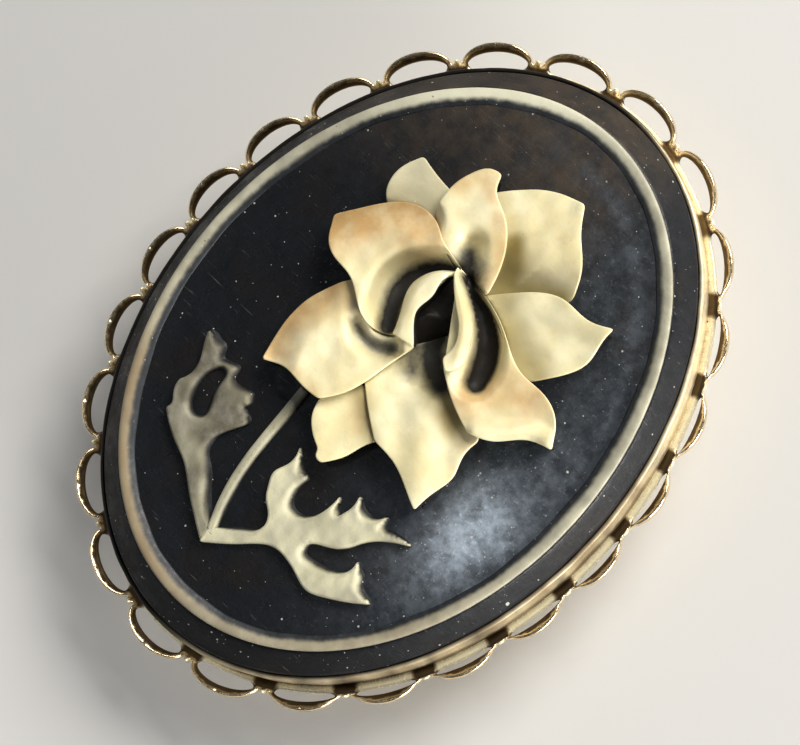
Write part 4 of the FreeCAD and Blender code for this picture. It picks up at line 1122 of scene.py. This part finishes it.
def rounded_copy(node, body, material, radius, tarnish_and_shade):
    """A CAD piece with its machined edges softened."""
    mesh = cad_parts[node].data.copy()
    mesh.materials.clear()
    bm = bmesh.new()
    bm.from_mesh(mesh)
    bmesh.ops.remove_doubles(bm, verts=bm.verts, dist=0.002 * MM)
    bmesh.ops.dissolve_limit(bm, angle_limit=radians(1.0), verts=bm.verts, edges=bm.edges)
    sharp = [e for e in bm.edges if len(e.link_faces) == 2 and e.calc_face_angle() > radians(35)]
    bmesh.ops.bevel(bm, geom=sharp, offset=radius * MM, segments=3, profile=0.5, affect="EDGES",
                    clamp_overlap=True, loop_slide=True)
    bmesh.ops.triangulate(bm, faces=[f for f in bm.faces if len(f.verts) > 4])
    bmesh.ops.recalc_face_normals(bm, faces=bm.faces)
    bm.to_mesh(mesh)
    bm.free()
    mesh.set_sharp_from_angle(angle=radians(40))
    add_attributes(mesh, {"tarnish_and_shade": np.full(len(mesh.vertices), tarnish_and_shade)})
    stand_for(node, node + "_finished", mesh, material, body)


def fittings():
    """The pin, its hinge and its catch."""
    for node, body, radius in (("pin_bar", "brooch", 0.08), ("pin_joint", "brooch", 0.06),
                               ("joint_rivet", "brooch", 0.06), ("catch_housing", "brooch", 0.05),
                               ("catch_roller", "roller", 0.05)):
        rounded_copy(node, body, PIN_GILT, radius, 0.12)
    rounded_copy("pin_stem", "pin", steel(), 0.05, 0.0)


def cement_layer():
    """The adhesive under the tablet: a thin oval layer with an uneven, rounded edge."""
    wide, high = CEMENT_HALF.x, CEMENT_HALF.y
    thick = CEMENT_HALF.z - CEMENT_LOW.z
    rings = []
    for inward, level in ((wide, 0.0), (2.0, 0.0), (0.25, 0.0), (0.1, 0.2), (0.04, 0.5), (0.1, 0.8),
                          (0.25, 1.0), (2.0, 1.0), (wide, 1.0)):
        ring = oval_ring(max(wide - inward, POINT), max(high - inward, POINT), CEMENT_LOW.z + thick * level)
        seep = 0.12 * (wobble(ring, 4.0, 3.0) - 1) * ease(1.0, 0.3, inward)
        ring[:, :2] *= (1 + seep / wide)[:, None]
        rings.append(ring)
    points, faces = lathe(rings)
    new_piece("cement_bed", points, faces, cement(), {})


# --- the studio ---
FLOOR_HALF = 3.0                # in metres


def floor():
    corners = [(x * FLOOR_HALF, y * FLOOR_HALF, 0) for x, y in ((-1, -1), (1, -1), (1, 1), (-1, 1))]
    mesh = bpy.data.meshes.new("floor")
    mesh.from_pydata(corners, [], [(0, 1, 2, 3)])
    f = Finish("pale_floor")
    color = f.mix(f.noise(0.02), (0.66, 0.65, 0.63, 1), (0.70, 0.69, 0.67, 1))
    mesh.materials.append(f.finished(Base_Color=color, Roughness=0.7))
    add_object("floor", mesh)


# where the camera stands: tilted from straight above, and rolled
CAMERA_TILT = radians(13.2)
CAMERA_TURN = radians(4.61)
CAMERA_ROLL = radians(43.73)
CAMERA_DISTANCE = 200.0
CAMERA_LENS = 152.1
CAMERA_SHIFT = (-0.0065375, 0.00635)


def camera():
    away = Vector((sin(CAMERA_TILT) * cos(CAMERA_TURN),
                   sin(CAMERA_TILT) * sin(CAMERA_TURN), cos(CAMERA_TILT)))
    right = Vector((0, 1, 0)).cross(away).normalized()
    up = away.cross(right)
    c, s = cos(CAMERA_ROLL), sin(CAMERA_ROLL)
    data = bpy.data.cameras.new("camera")
    data.sensor_width = 36.0
    data.lens = CAMERA_LENS
    data.shift_x, data.shift_y = CAMERA_SHIFT
    data.clip_start = 0.01
    data.clip_end = 10.0
    obj = add_object("camera", data)
    place = Vector((0, 0, BACK)) + away * CAMERA_DISTANCE
    turn = Matrix((right * c + up * s, up * c - right * s, away)).transposed().to_4x4()
    obj.matrix_world = Matrix.Translation(place * MM) @ turn
    bpy.context.scene.camera = obj


def softbox(name, place, target, size, power, color):
    """A soft rectangular lamp; places and sizes are in metres."""
    data = bpy.data.lights.new(name, "AREA")
    data.shape = "RECTANGLE"
    data.size, data.size_y = size
    data.energy = power
    data.color = color
    way = (Vector(target) - Vector(place)).normalized()
    turn = way.to_track_quat("-Z", "Y").to_matrix().to_4x4()
    add_object(name, data).matrix_world = Matrix.Translation(Vector(place)) @ turn


def lights():
    """A dim cool sky, a warm key light with a weak fill, a low side light and a sheen on the field."""
    world = bpy.data.worlds.new("studio")
    world.use_nodes = True
    sky = world.node_tree.nodes["Background"]
    sky.inputs["Color"].default_value = (0.80, 0.86, 1.0, 1)
    sky.inputs["Strength"].default_value = 0.11
    bpy.context.scene.world = world
    middle = (0, 0, 0.005)
    softbox("key", (0.02, 0.42, 0.36), middle, (0.34, 0.24), 3.6, (1.0, 0.97, 0.91))
    softbox("fill", (-0.30, -0.35, 0.30), middle, (0.4, 0.4), 0.35, (0.9, 0.95, 1.0))
    softbox("side", (0.44, 0.03, 0.10), middle, (0.30, 0.10), 2.6, (1.0, 0.97, 0.92))
    softbox("sheen", (-0.085, -0.03, 0.5), (0.008, -0.004, 0.008), (0.05, 0.07), 0.05, (0.85, 0.93, 1.0))


flower()
leaves()
tablet()
border_line()
cup()
lace()
fittings()
cement_layer()
floor()
camera()
lights()
bpy.context.scene.view_settings.view_transform = "Standard"
